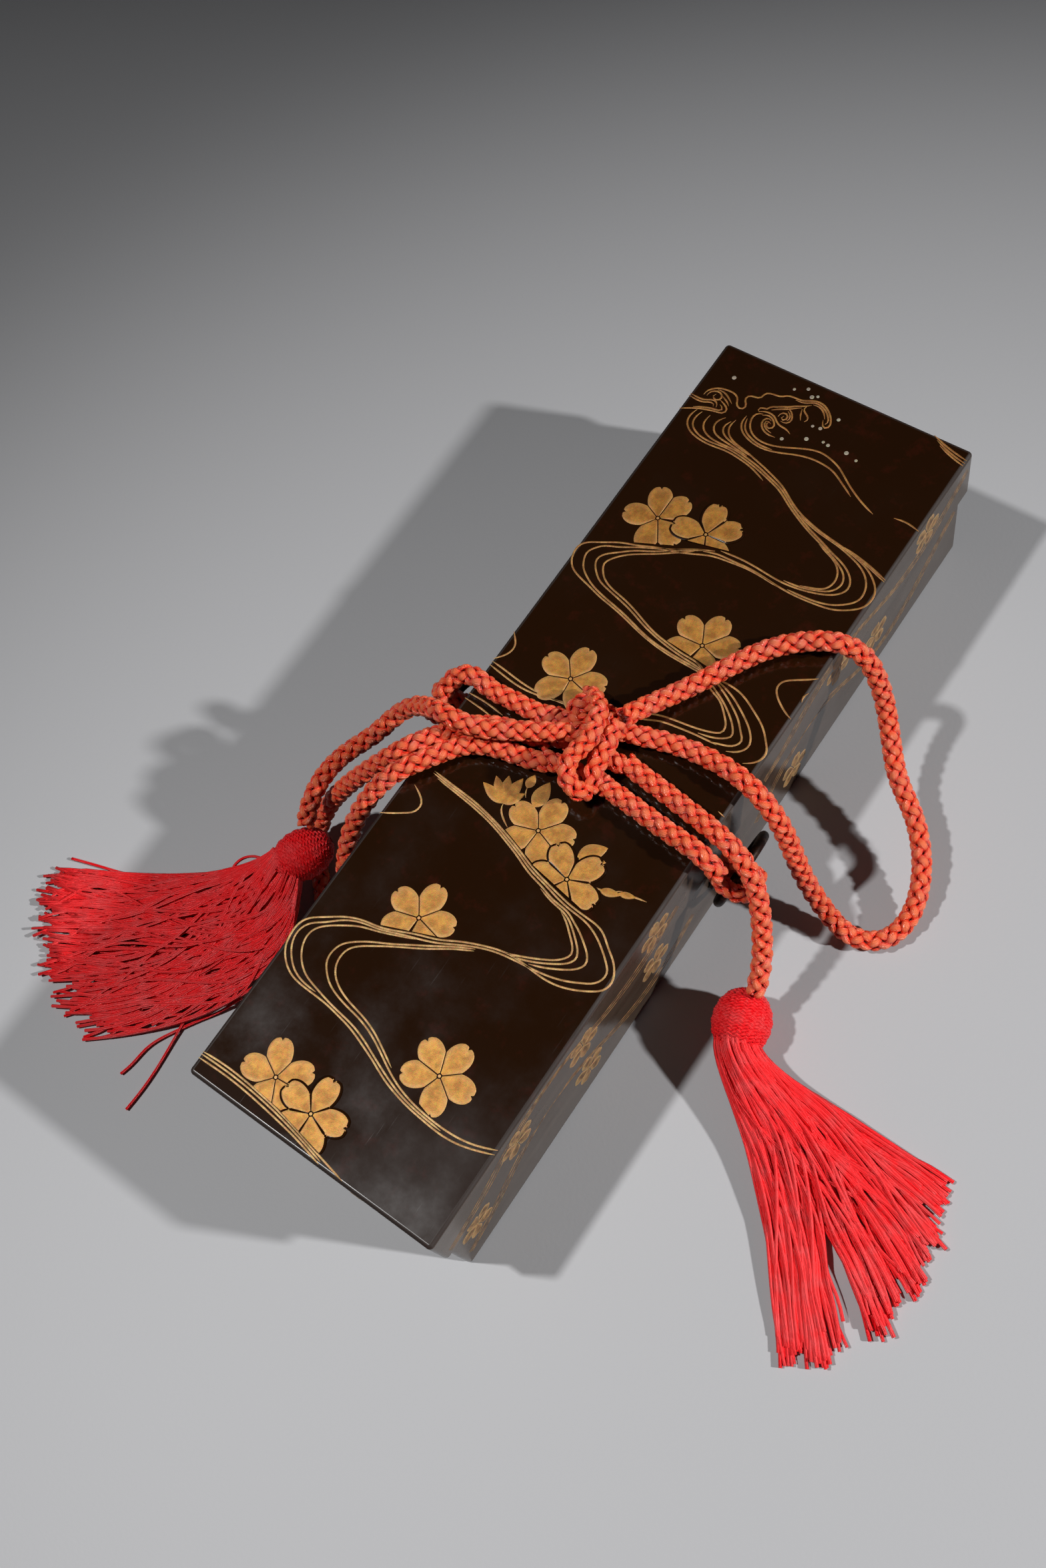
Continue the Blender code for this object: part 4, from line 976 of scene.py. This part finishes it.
# How far an upper blossom stands over the other, the gap between petals, and the lacquer line round the
# upper one, with how far it lies below the petals
LEVEL = 0.3
PETAL_GAP = 0.17
OUTLINE = 0.32
OUTLINE_DROP = 0.08
PETAL_LENGTH = 10.3
PETAL_WIDTH = 7.1
PETAL_WIDEST = 0.62
PETAL_ROWS = 18
PETAL_COLUMNS = 15
PETAL_RISE = 0.15
RIM_RISE = 0.06
LEAF_RISE = 0.17
LEAF_ROWS = 12
LEAF_COLUMNS = (-1, -0.85, -0.4, 0, 0.4, 0.85, 1)
DOT_RADIUS = 0.42
DOT_RISE = 0.12
DOT_CORNERS = 0.7 * np.arange(9)
DROP_RADII = (0.46, 0.56, 0.66)
DROP_RISE = 0.16
DROP_CORNERS = 0.785 * np.arange(8)
# Leaves and buds: where each starts, its tip, and its width
LEAVES = (
    ((-4.7, -21.6), (-4.9, -13.5), 4.4), ((13.3, -26.9), (18.8, -20.8), 4.6),
    ((13.9, -27.2), (20.6, -24.4), 3.2), ((23.4, -31.4), (28.8, -29.8), 2.2),
    ((28.0, -29.6), (32.6, -28.2), 1.7), ((-12.5, -25), (-20.6, -22.8), 3.0),
    ((-12.5, -25), (-18.6, -19.4), 3.2), ((-12.5, -25), (-15.6, -17.6), 3.4),
    ((-12.5, -25), (-11.8, -16.3), 3.6), ((-12.5, -25), (-8.8, -19.6), 2.8),
    ((-9.4, -18), (-9.6, -13.8), 2.6),
)


# Gold powder in lacquer: a soft matt metal of fine grains, which catch the light one by one. It is paler
# at the rim, where it is thick, and darkened towards the far end of the lid by far_end, which is painted
# shade for the light falling off there. The grains are 0.05 mm, drawn at 0.25 mm.
def gold_powder(name, bright, deep, rim, roughness, far_end="#ffffff"):
    material, where = new_material(name)
    worn = stretched(material, noise(material, where, 420.0, 4.0), 0.38, 0.66)
    tone = mixed(material, mark(material, "rim"), mixed(material, worn, deep, bright), rim)
    # darker towards the far end of the lid: painted shade
    along = add_node(material, "SeparateXYZ", {}, Vector=where)
    far = stretched(material, along.outputs["Y"], -0.1, 0.1)
    tone_with_far_painted_shade = mixed(material, far, tone, far_end, "MULTIPLY")
    grains = add_node(material, "TexVoronoi", {}, Vector=where, Scale=4000.0)
    colour = mixed(material, 0.18, tone_with_far_painted_shade, grains.outputs["Color"], "OVERLAY")
    grain = grains.outputs["Distance"]
    surface(material, colour, grain, strength=0.4, depth=0.0001, Metallic=0.25, Roughness=roughness)
    return material


# the last colour of each is the painted shade at the lid's far end
petal_gold = gold_powder("petal_gold_powder", "#d2963e", "#a87128", "#cf9e60", 0.55, "#cfc4b2")
line_gold = gold_powder("line_gold_powder", "#cfa76d", "#a37b4a", "#cfa76d", 0.5, "#d2b690")
drop_silver = gold_powder("spray_silver_powder", "#aa9f8c", "#807664", "#aa9f8c", 0.5)
side_gold = gold_powder("rubbed_side_gold", "#a07a4c", "#5b4026", "#a8875c", 0.55)


def along_line(line, spacing):
    """Evenly spaced points on a line of the plan, and the direction square to it at each."""
    way = smooth_line(line, spacing)
    ahead = unit(np.gradient(way, axis=0))
    return way, np.column_stack([-ahead[:, 1], ahead[:, 0]])


def gold_lines(name, lines, place, material):
    """Raised lines through points, tapered at both ends. place turns a point of the plan and a rise into
    a point in space."""
    points = []
    faces = []
    for line in lines:
        way, across = along_line(line, LINE_STEP)
        walked = np.arange(len(way))
        sizes = np.clip(np.minimum(walked, walked[::-1]) / 3.0 + 0.25, 0, 1)
        first = len(points)
        for here, off, size in zip(way, across, sizes):
            for edge, rise in LINE_SECTION:
                x, y = here + off * edge * size * LINE_WIDTH / 2
                points.append(place(x, y, rise))
        faces += grid_faces(len(way), len(LINE_SECTION), closed=False, first=first)
    made = add_piece(name, points, faces, material)
    return made


def petal(length, width, left_gap, right_gap, grown=0.0):
    """One petal along X: pointed at the blossom's middle, round, and notched at the tip. A hair of
    lacquer is left between it and its neighbours, left_gap and right_gap being the angles to them."""
    points = []
    for share in np.linspace(0.07, 1, PETAL_ROWS):
        reach = length * share
        if share < PETAL_WIDEST:
            half = 1 - ((PETAL_WIDEST - share) / PETAL_WIDEST) ** 2.2
        else:
            half = math.sqrt(1 - 0.86 * ((share - PETAL_WIDEST) / 0.4) ** 2)
        for across in np.linspace(-1, 1, PETAL_COLUMNS):
            gap = left_gap if across > 0 else right_gap
            room = reach * math.tan(min(gap, 1.45) / 2) - PETAL_GAP
            wide = min(half * width / 2, max(room, 0.12)) + grown
            tip = 0.03 * max(0, abs(across) - 0.5) + 0.075 * math.exp(-((across / 0.15) ** 2))
            rim = max(abs(across) ** 4, share**9)
            rise = 0.0 if abs(across) > 0.95 or share > 0.985 else PETAL_RISE + RIM_RISE * rim
            points.append(((reach + grown * share) * (1 - tip * share**7), across * wide, rise, rim))
    return points, grid_faces(PETAL_ROWS, PETAL_COLUMNS, closed=False)


def leaf(length, width):
    """A pointed leaf or bud scale along X, with a low ridge down its middle."""
    points = []
    for share in np.linspace(0, 1, LEAF_ROWS):
        half = 0.06 + math.sin(math.pi * share**0.8) ** 0.9 if share < 1 else 0.0
        for across in LEAF_COLUMNS:
            rise = 0.0 if abs(across) == 1 else LEAF_RISE - 0.05 * abs(across)
            points.append((length * share, across * half * width / 2, rise, across**4))
    return points, grid_faces(LEAF_ROWS, len(LEAF_COLUMNS), closed=False)


def turned_to(points, start, angle):
    """Points made along X, moved to start and turned."""
    points = np.array(points)
    x = start[0] + points[:, 0] * math.cos(angle) - points[:, 1] * math.sin(angle)
    y = start[1] + points[:, 0] * math.sin(angle) + points[:, 1] * math.cos(angle)
    return np.column_stack([x, y, points[:, 2:]])


def gold_shapes(name, shapes, place, material):
    """Thicker gold shapes in one piece. Each is (points, faces, cut), a point being its plan, its rise
    and how near the rim it is. cut is None or a line, and what lies to the right of it is left off."""
    gathered = bmesh.new()
    near_rim = gathered.verts.layers.float.new("rim")
    for points, faces, cut in shapes:
        shape = bmesh.new()
        rim = shape.verts.layers.float.new("rim")
        corners = []
        for point in points:
            corners.append(shape.verts.new(point[:3]))
            corners[-1][rim] = point[3]
        for face in faces:
            shape.faces.new([corners[i] for i in face])
        bmesh.ops.remove_doubles(shape, verts=shape.verts, dist=0.001)
        if cut:
            start, end = Vector((*cut[0], 0)), Vector((*cut[1], 0))
            out = (end - start).cross(Vector((0, 0, 1)))
            every = shape.verts[:] + shape.edges[:] + shape.faces[:]
            bmesh.ops.bisect_plane(shape, geom=every, plane_co=start, plane_no=out, clear_outer=True)
        moved = {}
        for corner in shape.verts:
            moved[corner] = gathered.verts.new(place(*corner.co))
            moved[corner][near_rim] = corner[rim]
        for face in shape.faces:
            gathered.faces.new([moved[corner] for corner in face.verts])
        shape.free()
    gathered.verts.index_update()
    points = [tuple(corner.co) for corner in gathered.verts]
    rims = [corner[near_rim] for corner in gathered.verts]
    faces = [[corner.index for corner in face.verts] for face in gathered.faces]
    gathered.free()
    made = add_piece(name, points, faces, material)
    set_mark(made, "rim", rims)
    return made


def blossom_shapes(blossoms, length, width, grown=0.0):
    """The petals of the blossoms, with a small dot of gold in the middle of each. A blossom that lies
    over another stands a level higher. grown is how far an outline stands out round the petals."""
    shapes = []
    for middle, angles, cut, level in blossoms:
        ordered = sorted(angles)
        for number, angle in enumerate(ordered):
            left = math.radians((ordered[(number + 1) % 5] - angle) % 360)
            right = math.radians((angle - ordered[number - 1]) % 360)
            points, faces = petal(length, width, left, right, grown)
            points = turned_to(points, middle, math.radians(angle))
            points[:, 2] += LEVEL * level - (OUTLINE_DROP if grown else 0)
            shapes.append((points, faces, cut))
        if not grown:
            x = middle[0] + DOT_RADIUS * np.cos(DOT_CORNERS)
            y = middle[1] + DOT_RADIUS * np.sin(DOT_CORNERS)
            dot = [(*corner, DOT_RISE + LEVEL * level, 1) for corner in zip(x, y)]
            shapes.append((dot, [tuple(range(len(dot)))], None))
    return shapes


def on_lid(x, y, rise):
    """A point of the plan, on top of the lid."""
    return (x, y, LID_TOP + rise)


gold_lines("gold_stream", STREAM, on_lid, line_gold)
gold_lines("gold_wave", WAVE_LINES, on_lid, line_gold)

shapes = blossom_shapes(BLOSSOMS, PETAL_LENGTH, PETAL_WIDTH)
for start, tip, width in LEAVES:
    heading = math.atan2(tip[1] - start[1], tip[0] - start[0])
    points, faces = leaf(math.dist(start, tip), width)
    shapes.append((turned_to(points, start, heading), faces, None))
gold_shapes("gold_blossoms", shapes, on_lid, petal_gold)

shapes = []
count = len(DROP_CORNERS)
for number, (x, y) in enumerate(DROPS):
    radius = DROP_RADII[number % 3]
    drop = [(x + radius * math.cos(turn), y + radius * math.sin(turn), 0.0, 1) for turn in DROP_CORNERS]
    drop.append((x, y, DROP_RISE, 0))
    shapes.append((drop, [(i, (i + 1) % count, count) for i in range(count)], None))
gold_shapes("silver_drops", shapes, on_lid, drop_silver)

upper = [blossom for blossom in BLOSSOMS if blossom[3]]
shapes = blossom_shapes(upper, PETAL_LENGTH, PETAL_WIDTH, OUTLINE)
gold_shapes("lacquer_outlines", shapes, on_lid, lacquer)


# The same stream and blossom go on round the four sides, over lid and box, in thinner gold that
# handling has rubbed brown. The lines run in threes. The two long sides are alike, and so are the ends.
SIDE_PETAL_LENGTH = 6.4
SIDE_PETAL_WIDTH = 4.5
SIDE_LINES = 3
SIDE_LINE_GAP = 1.7
SIDE_LINE_STEP = 4.0
SIDE_LID_LINES = [
    [(-126, 33), (-112, 36), (-98, 42), (-84, 45), (-70, 43), (-58, 38), (-44, 35), (-30, 36),
     (-22, 38)],
    [(20, 36), (32, 39), (46, 44), (60, 45), (74, 41), (88, 36), (102, 35), (114, 38), (126, 43)],
]
SIDE_BODY_LINES = [
    [(-124, 8), (-110, 14), (-96, 22), (-82, 25), (-68, 21), (-54, 13), (-40, 8), (-28, 9),
     (-16, 13)],
    [(16, 12), (28, 20), (42, 25), (56, 22), (70, 13), (84, 8), (98, 10), (112, 17), (124, 23)],
]
END_LID_LINES = [[(-38, 35), (-26, 41), (-12, 44), (4, 40), (18, 35), (30, 36), (38, 40)]]
END_BODY_LINES = [[(-36, 12), (-22, 20), (-8, 22), (8, 15), (22, 9), (36, 13)]]


def even_blossoms(*places):
    """Blossoms with five even petals. Each place is a middle, and the way that one petal points."""
    return [(middle, range(turn, turn + 360, 72), None, 0) for middle, turn in places]


SIDE_LID_BLOSSOMS = even_blossoms(
    ((-95, 38.2), 18), ((-66, 37.6), 54), ((-32, 40.6), 18), ((58, 38.4), 30), ((104, 41.4), 0)
)
SIDE_BODY_BLOSSOMS = even_blossoms(
    ((-117, 19), 30), ((-67, 13.6), 18), ((-34, 18.4), 54), ((36, 11), 0), ((80, 18.6), 18)
)
END_LID_BLOSSOMS = even_blossoms(((16, 41.2), 18))
END_BODY_BLOSSOMS = even_blossoms(((-16, 11.6), 54))
LONG_FACE = (
    ("lid", LID_HALF[0], SIDE_LID_LINES, SIDE_LID_BLOSSOMS),
    ("box", BODY_HALF[0], SIDE_BODY_LINES, SIDE_BODY_BLOSSOMS),
)
SHORT_FACE = (
    ("lid", LID_HALF[1], END_LID_LINES, END_LID_BLOSSOMS),
    ("box", BODY_HALF[1], END_BODY_LINES, END_BODY_BLOSSOMS),
)
FACES = (
    ("right", 0, LONG_FACE),
    ("left", math.pi, LONG_FACE),
    ("near", -math.pi / 2, SHORT_FACE),
    ("far", math.pi / 2, SHORT_FACE),
)


def bundle(lines, count, gap):
    """Each line with others beside it, which part where it bends and run together between."""
    made = []
    for line in lines:
        way, across = along_line(line, SIDE_LINE_STEP)
        spread = gap * (0.45 + 0.55 * np.sin(np.linspace(0.3, 2.8, len(way)) * 2) ** 2)
        for number in range(count):
            made.append(way + across * ((number - (count - 1) / 2) * spread)[:, None])
    return made


for face, turn, parts in FACES:
    for part, out, lines, blossoms in parts:

        def on_face(along, height, rise):
            """A point of the plan, on this face of the lid or box."""
            reach = out + rise * 0.6
            x = reach * math.cos(turn) - along * math.sin(turn)
            y = reach * math.sin(turn) + along * math.cos(turn)
            return (x, y, height)

        water = bundle(lines, SIDE_LINES, SIDE_LINE_GAP)
        gold_lines("gold_water_" + part + "_" + face, water, on_face, side_gold)
        shapes = blossom_shapes(blossoms, SIDE_PETAL_LENGTH, SIDE_PETAL_WIDTH)
        gold_shapes("gold_flowers_" + part + "_" + face, shapes, on_face, side_gold)


# A plain pale table, a low lamp beyond the far right corner and a higher one over the near left, both
# small enough for clear shadows, and a wide dim one overhead, which shows as a haze on the near end of
# the lid.
table = bpy.data.meshes.new("table")
table.from_pydata([(-3, -3, 0), (3, -3, 0), (3, 3, 0), (-3, 3, 0)], [], [(0, 1, 2, 3)])
floor = bpy.data.objects.new("table", table)
bpy.context.scene.collection.objects.link(floor)
paint, where = new_material("pale_painted_board")
speck = noise(paint, where, 900.0, 2.0)
surface(paint, "#adadaf", speck, strength=0.05, depth=0.0005, Roughness=0.6, IOR=1.5)
table.materials.append(paint)


def aim_lamp(name, kind, place, aim, power, settings):
    """Adds a lamp that points at aim."""
    light = bpy.data.lights.new(name, kind)
    light.energy = power
    for option, value in settings.items():
        setattr(light, option, value)
    lamp = bpy.data.objects.new(name, light)
    bpy.context.scene.collection.objects.link(lamp)
    lamp.location = place
    lamp.rotation_euler = (Vector(aim) - Vector(place)).to_track_quat("-Z", "Y").to_euler()


BEAM = {"spot_size": math.radians(32), "spot_blend": 1.0, "shadow_soft_size": 0.05}
aim_lamp("far_lamp", "SPOT", (1.83, 0.75, 1.17), (0.16, -0.12, 0), 218, BEAM)
aim_lamp("near_lamp", "SPOT", (-0.66, -0.53, 1.74), (0.16, -0.10, 0), 92, BEAM)
DISK = {"shape": "DISK", "size": 0.36}
aim_lamp("overhead_lamp", "AREA", (-0.36, -0.22, 1.55), (0, -0.1, 0.05), 0.13, DISK)
world = bpy.data.worlds.new("studio")
world.use_nodes = True
world.node_tree.nodes["Background"].inputs["Color"].default_value = linear("#dfe3ea")
world.node_tree.nodes["Background"].inputs["Strength"].default_value = 0.018
bpy.context.scene.world = world
